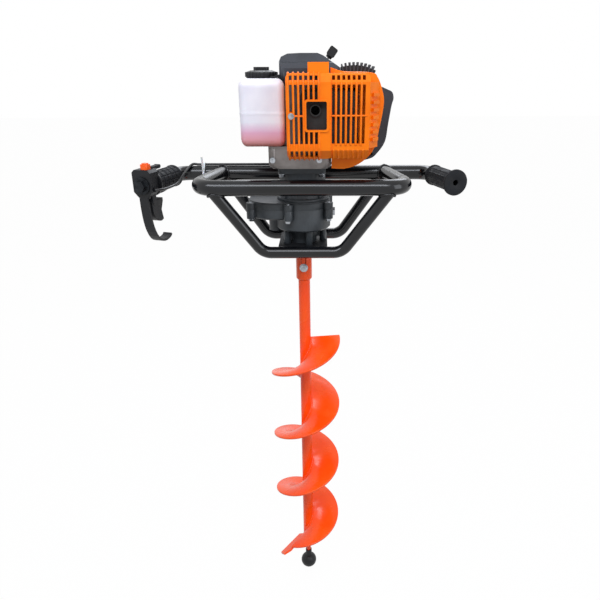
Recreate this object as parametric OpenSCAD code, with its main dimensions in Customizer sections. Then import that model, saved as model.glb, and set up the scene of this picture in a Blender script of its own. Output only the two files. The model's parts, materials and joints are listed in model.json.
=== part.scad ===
// Earth auger with a two-stroke engine, a two-stage gearbox, a tube frame and a screw bit.
// Millimetres, +Z up, the origin is the lowest point of the tip ball on the axis of the bit.

/* [Bit] */
// outer diameter of the flight
flight_d = 150; // [120:1:180]
// rise of the flight in one turn
flight_pitch = 159; // [130:1:180]
// turns of the flight
flight_turns = 3.36; // [3:0.01:3.6]
// thickness of the flight plate
flight_t = 5; // [3:0.5:8]
// heading of the flight's upper end
flight_end_angle = 8; // [0:1:60]
// distance from the flight's upper end to the socket
flight_to_socket = 133; // [60:1:200]
// diameter of the shaft
shaft_d = 24; // [18:0.5:30]
// length of the shaft below the socket
shaft_length = 682; // [640:1:760]
// diameter of the socket
socket_d = 32; // [28:0.5:40]
// length of the socket
socket_length = 65; // [50:1:80]
// depth of the socket's bore
socket_depth = 50; // [30:1:55]
// chamfer of the socket
socket_chamfer = 3; // [1:0.5:5]
// diameter of the coupling bolt
coupling_bolt_d = 8; // [5:0.5:10]
// height of the coupling bolt above the socket's lower end
coupling_bolt_rise = 29; // [24:1:45]
// diameter of the tip ball
ball_d = 38; // [30:1:50]
// diameter of the ball's neck
ball_neck_d = 15; // [13:0.5:20]
// length of the ball's neck
ball_neck_length = 17; // [12:1:30]
// diameter of the pilot point
pilot_d = 11; // [8:0.5:14]
// distance from the ball's top to the shaft
ball_to_shaft = 75; // [50:1:90]
// length of the cutting blade
blade_length = 70; // [50:1:80]
// width of the cutting blade
blade_w = 24; // [18:1:36]
// thickness of the cutting blade
blade_t = 5; // [3:0.5:8]

/* [Frame] */
// diameter of the handlebar and the upper hoop
rail_d = 28.5; // [24:0.5:34]
// diameter of the V hoops
hoop_d = 22; // [18:0.5:26]
// wall of the tubes
tube_wall = 2; // [1:0.5:3]
// distance from the front rail to the handlebar
rail_spacing = 159; // [150:1:180]
// half length of the handlebar's straight run
bar_half = 228; // [210:1:250]
// bend radius of the handlebar
bar_bend_r = 30; // [24:1:40]
// outward lean of the two arms
arm_angle = 17; // [5:1:30]
// length of the right arm
right_arm = 94; // [80:1:120]
// length of the left arm
left_arm = 110; // [104:1:116]
// half length of the front rail's straight run
rail_half = 152; // [140:1:170]
// bend radius of the upper hoop
rail_bend_r = 36; // [30:1:45]
// inward lean of the side tubes
side_angle = 12; // [4:1:24]
// height of the rails above the V hoops
hoop_height = 124; // [110:1:140]
// distance between the V hoops at the bottom
hoop_spacing = 134; // [126:1:145]
// half width of a V hoop at its bottom corner
hoop_corner = 74; // [66:1:84]
// slope of the V hoops' legs
hoop_angle = 54; // [50:1:60]
// bend radius of the V hoops
hoop_bend_r = 30; // [24:1:40]
// thickness of the base plate
plate_t = 7; // [5:0.5:10]
// width of the base plate
plate_w = 94; // [86:1:110]
// depth of the plate's lower face below the hoop tubes' top
plate_seat = 12; // [11:0.5:14]
// distance from the socket to the centre of the V hoops
socket_to_hoop = 12; // [8:1:20]

/* [Right grip] */
// diameter of the grip
grip_d = 36; // [34:0.5:42]
// length of the grip
grip_length = 84; // [70:1:90]
// diameter of the end flange
grip_flange_d = 48; // [42:1:56]
// thickness of the end flange
grip_flange_t = 5; // [3:0.5:8]
// diameter of the hole in the grip's end
grip_hole_d = 10; // [6:0.5:14]

/* [Throttle handle] */
// length of the ribbed grip
thr_grip_length = 78; // [66:1:80]
// diameter of the ribbed grip
thr_grip_d = 37; // [34:0.5:42]
// length of the handle head
thr_head_length = 28; // [26:1:34]
// width of the handle head
thr_head_w = 38; // [36:1:46]
// height of the head above the tube's axis
thr_head_up = 28; // [24:1:34]
// height of the head below the tube's axis
thr_head_down = 22; // [20:1:28]
// length of the hand guard below the head
guard_drop = 90; // [80:1:100]
// width of the hand guard
guard_w = 18; // [14:1:22]
// thickness of the hand guard
guard_t = 4.5; // [3:0.5:6]
// width of the trigger
trigger_w = 17; // [12:1:20]
// length of the trigger
trigger_length = 42; // [32:1:44]
// diameter of the end bolt's washer
end_washer_d = 32; // [26:1:36]
// width across flats of the end bolt
end_bolt_flats = 19; // [13:1:22]
// diameter of the lever pins
lever_pin_d = 4; // [3:0.5:5]
// width of the stop switch
switch_w = 15; // [12:1:20]
// diameter of the throttle cable
cable_d = 5; // [4:0.5:7]

/* [Gearbox] */
// distance from the bit's axis to the countershaft
gear_centre = 52; // [50:0.5:56]
// teeth of the small wheels
pinion_teeth = 9; // [9:1:9]
// teeth of the large wheels
wheel_teeth = 51; // [51:1:51]
// face width of the output wheel
output_face = 15; // [12:0.5:15]
// face width of the counter wheel
counter_face = 13; // [10:0.5:13]
// wall of the gearbox
gearbox_wall = 5; // [4:0.5:7]
// diameter of the output shaft
output_d = 20; // [17:0.5:22]
// diameter of the countershaft's journals
counter_d = 10; // [8:0.5:11]
// diameter of the input shaft
input_d = 12; // [10:0.5:12]
// outer diameter of the output bearings
output_bearing_d = 42; // [38:1:44]
// width of the output bearings
output_bearing_w = 12; // [10:0.5:12]
// outer diameter of the countershaft bearings
counter_bearing_d = 22; // [19:1:24]
// width of the countershaft bearings
counter_bearing_w = 6; // [5:0.5:6]
// outer diameter of the input bearings
input_bearing_d = 28; // [24:1:30]
// width of the input bearings
input_bearing_w = 8; // [7:0.5:8]
// height of the gearbox's five posts
post_h = 28; // [24:1:34]
// diameter of the posts
post_d = 13; // [12:0.5:15]
// radius of the circle that the posts stand on
post_at = 38.5; // [37:0.5:40]
// diameter of the gearbox bolts
case_bolt_d = 6; // [5:0.5:8]
// diameter of the base bolts
base_bolt_d = 6; // [5:0.5:8]

/* [Clutch] */
// inner radius of the clutch bell
bell_r = 40; // [39:0.5:44]
// wall of the clutch bell
bell_wall = 3.5; // [3:0.5:6]
// height of the clutch bell
bell_height = 63; // [60:1:68]
// width of the clutch flange
clutch_flange_w = 88; // [84:1:96]
// thickness of the clutch flange
clutch_flange_t = 11; // [9:0.5:14]
// outer radius of the drum
drum_r = 37.5; // [34:0.5:38]
// wall of the drum
drum_wall = 2; // [1.5:0.5:3]
// height of the drum
drum_height = 27; // [24:1:30]
// width of the clutch shoes
shoe_height = 16; // [12:1:18]

/* [Engine] */
// cylinder bore
bore_d = 44; // [40:0.5:46]
// stroke of the piston
stroke = 34; // [30:0.5:36]
// length of the connecting rod
rod_length = 68; // [66:1:70]
// width of the fan housing
fan_case_w = 113; // [110:1:120]
// depth of the fan housing
fan_case_depth = 120; // [114:1:126]
// height of the fan housing
fan_case_h = 36; // [34:1:38]
// outer radius of the flywheel fan
fan_r = 48; // [40:1:50]
// width of the crankcase
crankcase_w = 84; // [82:1:90]
// height of one crankcase half
crankcase_half = 53; // [50:1:56]
// radius of the crank webs
web_r = 31; // [28:0.5:31]
// thickness of a crank web
web_t = 11; // [9:0.5:12]
// gap between the crank webs
web_gap = 15; // [13:0.5:16]
// diameter of the main journals
journal_d = 15; // [12:0.5:17]
// outer diameter of the main bearings
main_bearing_d = 35; // [32:1:37]
// width of the main bearings
main_bearing_w = 11; // [9:0.5:11]
// diameter of the crankpin
crankpin_d = 12; // [10:0.5:14]
// diameter of the wrist pin
wrist_pin_d = 10; // [8:0.5:12]
// running clearance of bearings and slides
run_gap = 0.05; // [0.02:0.01:0.08]
// width of the cooling fins
fin_w = 84; // [76:1:88]
// number of cooling fins
fin_count = 9; // [7:1:10]

/* [Covers] */
// thickness of the covers
cover_t = 2.5; // [2:0.25:3.5]
// left edge of the muffler guard
guard_left = 22; // [16:1:26]
// right edge of the muffler guard
guard_right = 117; // [112:1:124]
// height of the muffler guard
guard_h = 136; // [128:1:142]
// distance from the bit's axis to the muffler guard's front
guard_front = 106; // [102:1:112]
// spacing of the guard's slots
slot_pitch = 8.4; // [7:0.1:9]
// width of the guard's slots
slot_w = 5; // [3.5:0.1:5.5]
// width of the outlet window
window_w = 34; // [28:1:38]
// height of the outlet window
window_h = 45; // [38:1:50]
// diameter of the exhaust outlet
outlet_d = 15; // [10:0.5:18]
// diameter of the cover screws
screw_d = 5; // [4:0.5:6]

/* [Starter] */
// half width of the starter housing
starter_half = 38; // [36:1:42]
// height of the starter housing
starter_h = 49; // [47:1:54]
// radius of the rope pulley
pulley_r = 29; // [24:1:30]
// diameter of the starter rope
rope_d = 3.5; // [3:0.5:4.5]
// length of the pull handle
pull_length = 32; // [26:1:40]
// length of rope that is pulled
rope_pull = 600; // [400:10:700]

/* [Fuel and air] */
// width of the fuel tank
tank_w = 78; // [70:1:80]
// depth of the fuel tank
tank_depth = 132; // [120:1:140]
// height of the fuel tank
tank_h = 111; // [100:1:112]
// corner radius of the fuel tank
tank_r = 14; // [8:1:18]
// wall of the fuel tank
tank_wall = 2; // [1.5:0.5:3]
// diameter of the filler neck
neck_d = 40; // [34:1:44]
// diameter of the fuel cap
cap_d = 56; // [50:1:60]
// lift of the cap when it is off
cap_lift = 40; // [30:1:60]
// diameter of the primer bulb
primer_d = 18; // [14:0.5:20]
// width of the air filter
filter_w = 88; // [80:1:92]
// height of the air filter
filter_h = 84; // [76:1:86]
// depth of the air filter cover
filter_depth = 26; // [20:1:34]

/* [Hidden] */
$fn = 48;
gap = 0.3;
fit = 0.05;
eps = 0.5;
tube_fn = 40;
seam_w = 1;
seam_t = 0.1;
// heights from the tip upward
shaft_low = ball_d + ball_to_shaft;
socket_low = shaft_low + shaft_length;
socket_top = socket_low + socket_length;
coupling_z = socket_low + coupling_bolt_rise;
hoop_z = socket_top + socket_to_hoop;
plate_low = hoop_z + hoop_d / 2 - plate_seat;
plate_top = plate_low + plate_t;
body_low = plate_top + post_h;
floor_z = body_low + 4;
lobe_low = floor_z + output_face + 5;
split_z = body_low + 42;
cover_low = split_z + fit;
cover_h = 14;
cover_top = cover_low + cover_h;
rail_z = hoop_z + hoop_height;
rail_y = rail_spacing / 2;
// gears
module_mm = 2 * gear_centre / (pinion_teeth + wheel_teeth);
gear_pressure = 25;
backlash = 0.35;
addendum = 0.8 * module_mm;
dedendum = 1.0 * module_mm;
pinion_r = module_mm * pinion_teeth / 2;
wheel_r = module_mm * wheel_teeth / 2;
cavity_r = wheel_r + addendum + 2.5;
body_r = cavity_r + gearbox_wall;
output_gear_z = floor_z + 2.5;
output_top = output_gear_z + output_face + 3;
counter_gear_z = lobe_low + gearbox_wall + 2.5;
input_low = counter_gear_z - 1.5;
input_face = counter_face + 3;
counter_boss_r = counter_bearing_d / 2 + 4;
counter_low = floor_z - counter_bearing_w - 1;
counter_boss_low = counter_low - 3;
counter_bearing_top = cover_top - 3;
counter_top = counter_bearing_top - 0.3;
hub_low = plate_top - 6;
seal_w = 7;
hub_r = output_bearing_d / 2 + 5;
lug_r = 8.5;
lug_h = 18;
// clutch
bell_top = cover_top + bell_height;
drum_low = cover_top + 16;
drum_top = drum_low + drum_height;
shoe_z = drum_top - shoe_height - 3;
// engine
fan_low = bell_top + fit;
fan_top = fan_low + fan_case_h;
fan_left = 59;
case_flange_t = 4;
crank_z = fan_top + crankcase_half;
case_top = crank_z + crankcase_half;
fly_low = fan_low + 7;
fly_h = 22;
fin_start = crankcase_w / 2 + 15;
crown_rise = 16;
deck_x = stroke / 2 + rod_length + crown_rise + 1;
head_x = deck_x + 16;
skirt = 17;
skirt_x = stroke / 2 + rod_length - skirt;
// covers
guard_low = fan_low + 23.5;
guard_top = guard_low + guard_h;
guard_back = fan_case_depth / 2 + 1.5;
shroud_front = fan_case_depth / 2 + 1;
shroud_right = 150;
mid_bar_z = guard_low + 0.52 * guard_h;
window_x = 28.5;
window_z = guard_low + 71;
outlet_x = window_x - 2;
outlet_z = window_z + 8;
// starter
starter_low = case_top;
starter_top = starter_low + starter_h;
pulley_z = starter_low + 17;
// tank
tank_right = 27;
tank_low = fan_top + case_flange_t + fit;
tank_top = tank_low + tank_h;
tank_x = -tank_right - tank_w / 2;
tank_y = -4;
cap_y = -12;
neck_h_tank = 9;
// handle frame
arm_dir = 90 - arm_angle;
arm_x = bar_half + bar_bend_r * sin(arm_dir);
arm_y = rail_y - bar_bend_r * (1 - cos(arm_dir));
thr_start = 8;
thr_head_start = thr_start + thr_grip_length + 5;
thr_end = thr_head_start + thr_head_length;

crank_end_d = 12;
fan_cx = fan_case_w / 2 - fan_left;
half_in = web_gap / 2 + web_t + 1.5;
main_low = crank_z - half_in - main_bearing_w;
main_top = crank_z + half_in;
pin_x = stroke / 2;
wrist_x = stroke / 2 + rod_length;
port_x = deck_x - 28;
boss_y = fin_w / 2 + 4;
muffler_w = 94;
muffler_h = 88;
muffler_x = 50;
muffler_wall = 3;
muffler_front = guard_front - 11;
muffler_back = boss_y + 6;
shroud_split = 12;
shroud_back = fan_case_depth / 2;
insulator_y = boss_y + 6;
carb_back = insulator_y + 30;
filter_y = carb_back + 2;
filter_base_t = 4;
pull_angle = 36;
pull_x = 48;
pull_y = 10;

// general forms

module up(z) {
  translate([0, 0, z]) children();
}

module tube_x(r, x0, x1) {
  translate([x0, 0, 0]) rotate([0, 90, 0]) cylinder(r = r, h = x1 - x0, $fn = tube_fn);
}

// a bend, with a hair-thin ring over the seam at each end
module bend(r, bend_r, from, angle) {
  rotate([0, 0, from]) rotate_extrude(angle = angle, $fn = 96) translate([bend_r, 0])
    circle(r = r, $fn = tube_fn);
  for (a = [from, from + angle]) rotate([0, 0, a]) translate([bend_r, 0, 0]) rotate([90, 0, 0])
    up(-seam_w / 2) cylinder(r = r + seam_t, h = seam_w, $fn = tube_fn);
}

module hex(flats, h) {
  cylinder(d = flats / cos(30), h = h, $fn = 6);
}

module bolt_head(d, h) {
  union() {
    cylinder(d = 2.1 * d, h = 0.2 * d, $fn = 32);
    hex(1.6 * d, h);
  }
}

module rounded_rect(w, h, r) {
  union() {
    square([w - 2 * r, h], center = true);
    square([w, h - 2 * r], center = true);
    for (x = [-1, 1]) for (y = [-1, 1]) translate([x * (w / 2 - r), y * (h / 2 - r)])
      circle(r = r, $fn = 32);
  }
}

module rounded_box(w, d, h, r) {
  linear_extrude(h) rounded_rect(w, d, r);
}

module ring(r_out, r_in, h) {
  difference() {
    cylinder(r = r_out, h = h);
    up(-eps) cylinder(r = r_in, h = h + 2 * eps);
  }
}

// right-hand screw thread point and the faces of a closed strip
function screw_at(r, a, z) = [r * cos(a), r * sin(a), z];

// bit

flight_steps = 30;
flight_n = ceil(flight_turns * flight_steps);
flight_top = socket_low - flight_to_socket;
flight_in = shaft_d / 2 / cos(180 / flight_steps) + fit;
flight_low = flight_top - flight_turns * flight_pitch;
flight_points = [
  for (i = [0 : flight_n]) let (t = flight_turns * (i / flight_n - 1))
    let (a = flight_end_angle + 360 * t)
      let (z = flight_top + flight_pitch * t)
        each [
          screw_at(flight_in, a, z),
          screw_at(flight_d / 2, a, z),
          screw_at(flight_d / 2, a, z - flight_t),
          screw_at(flight_in, a, z - flight_t)
          ]
        ];
flight_faces = [
  [0, 1, 2, 3],
  for (i = [0 : flight_n - 1]) for (k = [0 : 3]) each [
    [4 * i + k, 4 * i + 4 + k, 4 * i + 4 + (k + 1) % 4],
    [4 * i + k, 4 * i + 4 + (k + 1) % 4, 4 * i + (k + 1) % 4]
  ],
  [for (k = [3, 2, 1, 0]) 4 * flight_n + k]
];

module bit_flight() {
  color("OrangeRed") polyhedron(points = flight_points, faces = flight_faces, convexity = 12);
}

module bit_shaft() {
  color("OrangeRed") difference() {
    up(shaft_low) cylinder(d = shaft_d, h = shaft_length + socket_length - socket_depth - gap);
    up(shaft_low - eps) cylinder(d = pilot_d + 2 * fit, h = 40);
  }
}

module bit_socket() {
  bore_low = socket_top - socket_depth;
  color("OrangeRed") difference() {
    union() {
      up(socket_low + socket_chamfer) cylinder(d = socket_d, h = socket_length - socket_chamfer);
      up(socket_low) cylinder(d1 = socket_d - 2 * socket_chamfer, d2 = socket_d, h = socket_chamfer);
    }
    up(socket_low - eps) cylinder(d = shaft_d + 2 * fit, h = bore_low - socket_low + eps);
    up(bore_low - eps) cylinder(d = output_d + 2 * fit, h = socket_depth + 2 * eps);
    translate([0, -socket_d, coupling_z]) rotate([-90, 0, 0])
      cylinder(d = coupling_bolt_d + 2 * fit, h = 2 * socket_d);
  }
}

module coupling_bolt() {
  head_y = socket_d / 2 + fit;
  color("Silver") union() {
    translate([0, -head_y, coupling_z]) rotate([-90, 0, 0])
      cylinder(d = coupling_bolt_d, h = 2 * head_y + 9, $fn = 32);
    translate([0, -head_y, coupling_z]) rotate([90, 0, 0]) bolt_head(coupling_bolt_d, 5.5);
    translate([0, head_y, coupling_z]) rotate([-90, 0, 0]) bolt_head(coupling_bolt_d, 7);
  }
}

blade_a = flight_end_angle - 360 * (flight_turns - floor(flight_turns));

module cutting_blade() {
  color("OrangeRed") rotate([0, 0, blade_a])
    translate([shaft_d / 2 + 6, 0, flight_low - flight_t - fit]) rotate([32, 0, 0])
      translate([0, -blade_w, -blade_t]) linear_extrude(blade_t) polygon([
          [0, 0.25 * blade_w],
          [blade_length, -0.15 * blade_w],
          [blade_length + 6, 0.5 * blade_w],
          [blade_length - 8, blade_w],
          [0, blade_w]
        ]);
}

module pilot_point() {
  color("OrangeRed") union() {
    up(ball_d) cylinder(d = pilot_d, h = ball_to_shaft + 36);
    up(ball_d / 2) cylinder(d1 = 2, d2 = pilot_d, h = ball_d / 2);
  }
}

module tip_ball() {
  color("Black") difference() {
    union() {
      up(ball_d / 2) sphere(d = ball_d, $fn = 64);
      up(ball_d - 3) cylinder(d = ball_neck_d, h = ball_neck_length + 3);
    }
    up(ball_d) cylinder(d = pilot_d + 2 * fit, h = ball_neck_length + eps);
    up(ball_d / 2) cylinder(d1 = 2 + 2 * fit, d2 = pilot_d + 2 * fit, h = ball_d / 2 + fit);
  }
}

// frame

module arm_form(r, inner, l) {
  translate([arm_x, arm_y, 0]) rotate([0, 0, arm_angle]) rotate([90, 0, 0]) difference() {
    cylinder(r = r, h = l, $fn = tube_fn);
    up(thr_start + 2) cylinder(r = inner, h = l, $fn = tube_fn);
  }
}

module handlebar_form(r, inner) {
  up(rail_z) {
    translate([0, rail_y, 0]) tube_x(r, -bar_half, bar_half);
    for (side = [0, 1]) mirror([side, 0, 0]) {
      translate([bar_half, rail_y - bar_bend_r, 0]) bend(r, bar_bend_r, arm_angle, arm_dir);
      arm_form(r, inner, side == 1 ? left_arm : right_arm);
    }
  }
}

module handlebar() {
  color("Black") handlebar_form(rail_d / 2, rail_d / 2 - tube_wall);
}

module hoop_form(r) {
  turn = 90 + side_angle;
  up(rail_z) {
    translate([0, -rail_y, 0]) tube_x(r, -rail_half, rail_half);
    for (side = [0, 1]) mirror([side, 0, 0]) {
      translate([rail_half, rail_bend_r - rail_y, 0]) bend(r, rail_bend_r, -90, turn);
      translate([
          rail_half + rail_bend_r * cos(side_angle),
          rail_bend_r - rail_y + rail_bend_r * sin(side_angle),
          0
        ]) rotate([0, 0, side_angle]) rotate([-90, 0, 0]) cylinder(
        r = r,
        h = (2 * rail_y - rail_bend_r * (1 + sin(side_angle))) / cos(side_angle),
        $fn = tube_fn
      );
    }
  }
}

module upper_hoop() {
  color("Black") difference() {
    hoop_form(rail_d / 2);
    translate([0, rail_y, rail_z]) tube_x(rail_d / 2 + fit, -bar_half, bar_half);
  }
}

module v_form(r) {
  run = hoop_bend_r * tan(hoop_angle / 2);
  x0 = hoop_corner - run;
  leg = (hoop_height - 4 - hoop_bend_r * (1 - cos(hoop_angle))) / sin(hoop_angle);
  tilt = atan((rail_y - hoop_spacing / 2) / hoop_height);
  translate([0, -hoop_spacing / 2, hoop_z]) rotate([tilt, 0, 0]) {
    tube_x(r, -x0, x0);
    for (side = [0, 1]) mirror([side, 0, 0]) {
      translate([x0, 0, hoop_bend_r]) rotate([90, 0, 0]) bend(r, hoop_bend_r, -90, hoop_angle);
      translate([
          x0 + hoop_bend_r * sin(hoop_angle),
          0,
          hoop_bend_r * (1 - cos(hoop_angle))
          ]) rotate([0, 90 - hoop_angle, 0]) cylinder(r = r, h = leg, $fn = tube_fn);
    }
  }
}

module front_v_hoop() {
  color("Black") difference() {
    v_form(hoop_d / 2);
    hoop_form(rail_d / 2 + fit);
  }
}

module rear_v_hoop() {
  color("Black") difference() {
    mirror([0, 1, 0]) v_form(hoop_d / 2);
    translate([0, rail_y, rail_z]) tube_x(rail_d / 2 + fit, -bar_half, bar_half);
    hoop_form(rail_d / 2 + fit);
  }
}

module at_base_bolts() {
  for (k = [0 : 4]) rotate([0, 0, 72 * k]) translate([post_at, 0, 0]) children();
}

module base_plate() {
  color("Black") difference() {
    up(plate_low) rounded_box(plate_w, hoop_spacing - 4, plate_t, 8);
    v_form(hoop_d / 2 + fit);
    mirror([0, 1, 0]) v_form(hoop_d / 2 + fit);
    up(plate_low - eps) cylinder(r = hub_r + gap, h = plate_t + 2 * eps);
    up(plate_low - eps) at_base_bolts()
      cylinder(d = base_bolt_d + 2 * fit, h = plate_t + 2 * eps, $fn = 32);
  }
}

// right grip, in the frame of an arm

module on_arm(side) {
  translate([side * arm_x, arm_y, rail_z]) rotate([0, 0, side * arm_angle]) rotate([90, 0, 0])
    children();
}

module right_grip() {
  color("DimGray") on_arm(1) up(right_arm - grip_length) difference() {
    union() {
      cylinder(d = grip_d, h = grip_length, $fn = 64);
      cylinder(d = grip_d + 4, h = 5, $fn = 64);
      up(grip_length) cylinder(d = grip_flange_d, h = grip_flange_t, $fn = 64);
      for (k = [0 : 11]) rotate([0, 0, 30 * k]) translate([grip_d / 2, 0, 8])
        cylinder(r = 1.1, h = grip_length - 12, $fn = 16);
    }
    up(-eps) cylinder(d = rail_d + 2 * fit, h = grip_length + eps);
    cylinder(d = grip_hole_d, h = grip_length + 20, $fn = 32);
  }
}

// gears

function involute(a) = tan(a) - a * PI / 180;

function flank(r, base_r, half, z) =
half + (involute(gear_pressure) - (r > base_r ? involute(acos(base_r / r)) : 0)) * 180 / PI;

module gear_outline(teeth) {
  r = module_mm * teeth / 2;
  base_r = r * cos(gear_pressure);
  half = (PI * module_mm - backlash) / (4 * r) * 180 / PI;
  radii = [r - dedendum, max(base_r, r - 0.6 * dedendum), r, r + 0.5 * addendum, r + addendum];
  polygon([
      for (k = [0 : teeth - 1]) each concat(
        [for (i = [0 : 4]) let (a = 360 * k / teeth - flank(radii[i], base_r, half, 0))
            [radii[i] * cos(a), radii[i] * sin(a)]],
          [for (i = [4 : -1 : 0]) let (a = 360 * k / teeth + flank(radii[i], base_r, half, 0))
              [radii[i] * cos(a), radii[i] * sin(a)]]
          )
          ]);
}

module wheel_outline(bore) {
  difference() {
    gear_outline(wheel_teeth);
    circle(d = bore);
    for (k = [0 : 5]) rotate(60 * k + 30) translate([0.6 * wheel_r, 0]) circle(r = 7);
  }
}

module output_gear() {
  color("DarkGray") up(output_gear_z) linear_extrude(output_face) wheel_outline(output_d + 2 * fit);
}

module output_shaft() {
  low = socket_top - socket_depth + gap;
  color("LightGray") difference() {
    up(low) cylinder(d = output_d, h = output_top - low);
    translate([0, -output_d, coupling_z]) rotate([-90, 0, 0])
      cylinder(d = coupling_bolt_d + 2 * fit, h = 2 * output_d);
  }
}

module countershaft() {
  pinion_low = floor_z + 1;
  pinion_top = output_gear_z + output_face + 1.5;
  color("LightGray") translate([-gear_centre, 0, 0]) {
    up(counter_low) cylinder(d = counter_d, h = counter_top - counter_low);
    up(pinion_low) linear_extrude(pinion_top - pinion_low) gear_outline(pinion_teeth);
    up(pinion_top - eps)
      cylinder(d = counter_d + 4, h = counter_gear_z + counter_face + 0.5 - pinion_top);
    up(counter_gear_z) linear_extrude(counter_face) wheel_outline(counter_d + 3);
  }
}

input_top = drum_low + 7;

module input_pinion() {
  color("LightGray") {
    up(input_low) linear_extrude(input_face) gear_outline(pinion_teeth);
    up(input_low + input_face - eps)
      cylinder(d = input_d, h = input_top - input_low - input_face + eps);
  }
}

module bearing(outer_d, inner_d, w) {
  r_out = outer_d / 2 - fit;
  r_in = inner_d / 2 + run_gap;
  mid = (r_out + r_in) / 2;
  half = 0.18 * (r_out - r_in);
  difference() {
    ring(r_out, r_in, w);
    up(w - 0.8) ring(mid + half, mid - half, 2);
    up(0.8 - 2) ring(mid + half, mid - half, 2);
  }
}

lower_bearing_z = hub_low + seal_w;
upper_bearing_z = floor_z - 2 - output_bearing_w;
input_bearing_z = cover_top - input_bearing_w;
drum_bearing_z = cover_top + 3;

module bearings() {
  color("Gainsboro") {
    up(lower_bearing_z) bearing(output_bearing_d, output_d, output_bearing_w);
    up(upper_bearing_z) bearing(output_bearing_d, output_d, output_bearing_w);
    translate([-gear_centre, 0, counter_low]) bearing(counter_bearing_d, counter_d, counter_bearing_w);
    translate([-gear_centre, 0, counter_bearing_top - counter_bearing_w])
      bearing(counter_bearing_d, counter_d, counter_bearing_w);
    up(input_bearing_z) bearing(input_bearing_d, input_d, input_bearing_w);
    up(drum_bearing_z) bearing(input_bearing_d, input_d, input_bearing_w);
    up(main_low) bearing(main_bearing_d, journal_d, main_bearing_w);
    up(main_top) bearing(main_bearing_d, journal_d, main_bearing_w);
  }
}

// gearbox housings

lug_at = body_r + 7;
lug_right = lug_at * [cos(35), sin(35)];
lug_mid = [-gear_centre / 2, sqrt(lug_at * lug_at - gear_centre * gear_centre / 4)];
lug_left = [-gear_centre - 0.8 * (body_r + 4), 0.6 * (body_r + 4)];

module at_lugs() {
  for (p = [lug_right, lug_mid, lug_left]) for (s = [-1, 1]) translate([p[0], s * p[1], 0]) children();
}

module case_outline() {
  circle(r = body_r, $fn = 96);
  translate([-gear_centre, 0]) circle(r = body_r, $fn = 96);
  translate([-gear_centre / 2, 0]) square([gear_centre, 2 * body_r - 8], center = true);
  at_lugs() circle(r = lug_r, $fn = 32);
}

module cavity_outline() {
  circle(r = cavity_r, $fn = 96);
  translate([-gear_centre, 0]) circle(r = cavity_r, $fn = 96);
}

module gearbox_lower() {
  color([0.27, 0.29, 0.3]) difference() {
    union() {
      up(hub_low) cylinder(r = hub_r, h = body_low - hub_low + 1);
      up(plate_top + 6) cylinder(r1 = hub_r, r2 = post_at - 5, h = post_h - 5);
      up(plate_top + fit) at_base_bolts() {
        cylinder(d = post_d, h = post_h + 1, $fn = 48);
        translate([hub_r - 2 - post_at, -2, 8]) cube([post_at - hub_r, 4, post_h - 7]);
      }
      up(body_low) cylinder(r1 = body_r - 3, r2 = body_r, h = 3, $fn = 96);
      up(body_low + 3) cylinder(r = body_r, h = split_z - body_low - 3, $fn = 96);
      translate([-gear_centre, 0, lobe_low]) cylinder(r1 = body_r - 3, r2 = body_r, h = 3, $fn = 96);
      translate([-gear_centre, 0, lobe_low + 3])
        cylinder(r = body_r, h = split_z - lobe_low - 3, $fn = 96);
      translate([-gear_centre, 0, counter_boss_low])
        cylinder(r = counter_boss_r, h = lobe_low - counter_boss_low + 1);
      up(split_z - 7) linear_extrude(7) case_outline();
      up(split_z - lug_h) linear_extrude(lug_h) at_lugs() circle(r = lug_r, $fn = 32);
    }
    up(floor_z) cylinder(r = cavity_r, h = split_z, $fn = 96);
    translate([-gear_centre, 0, lobe_low + gearbox_wall])
      cylinder(r = cavity_r, h = split_z, $fn = 96);
    translate([-gear_centre, 0, floor_z]) cylinder(r = pinion_r + addendum + 1.5, h = split_z);
    translate([-gear_centre, 0, counter_low - 0.5])
      cylinder(d = counter_bearing_d, h = counter_bearing_w + 2);
    up(hub_low - eps) cylinder(d = output_bearing_d, h = seal_w + output_bearing_w + eps);
    up(hub_low) cylinder(d = output_bearing_d - 6, h = floor_z - hub_low + eps);
    up(upper_bearing_z) cylinder(d = output_bearing_d, h = split_z);
    up(split_z - lug_h - eps) at_lugs() cylinder(d = case_bolt_d + 2 * fit, h = 60, $fn = 32);
    up(plate_top - eps) at_base_bolts() cylinder(d = base_bolt_d + 2 * fit, h = 16, $fn = 32);
    translate([body_r - 12, 0, plug_z]) rotate([0, 90, 0])
      cylinder(d = plug_d + 2 * fit, h = 30, $fn = 32);
  }
}

cover_wall = 4.5;
cover_inside = cover_top - cover_wall;

module gearbox_upper() {
  color([0.27, 0.29, 0.3]) difference() {
    union() {
      up(cover_low) linear_extrude(cover_h - 2) case_outline();
      up(cover_top - 2 - eps) linear_extrude(2 + eps) union() {
        circle(r = body_r - 2, $fn = 96);
        translate([-gear_centre, 0]) circle(r = body_r - 2, $fn = 96);
      }
    }
    difference() {
      up(cover_low - eps) linear_extrude(cover_inside - cover_low + eps) cavity_outline();
      up(input_low + input_face + 0.6) cylinder(d = input_bearing_d + 8, h = 40);
      translate([-gear_centre, 0, counter_gear_z + counter_face + 1])
        cylinder(r = counter_boss_r, h = 40);
    }
    up(input_bearing_z) cylinder(d = input_bearing_d, h = 40);
    cylinder(d = input_d + 8, h = cover_top + eps);
    translate([-gear_centre, 0, 0]) cylinder(d = counter_bearing_d, h = counter_bearing_top);
    up(cover_low - eps) at_lugs() cylinder(d = case_bolt_d + 2 * fit, h = 60, $fn = 32);
    up(cover_top - 9) at_foot_screws() cylinder(d = screw_d + 2 * fit, h = 20, $fn = 32);
  }
}

plug_z = split_z - 13;
plug_d = 10;

module oil_plug() {
  color("Silver") translate([body_r + fit, 0, plug_z]) rotate([0, 90, 0]) {
    up(-gearbox_wall) cylinder(d = plug_d, h = gearbox_wall, $fn = 32);
    cylinder(d = 20, h = 2, $fn = 32);
    up(2 - fit) hex(14, 7);
  }
}

// clutch

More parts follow.
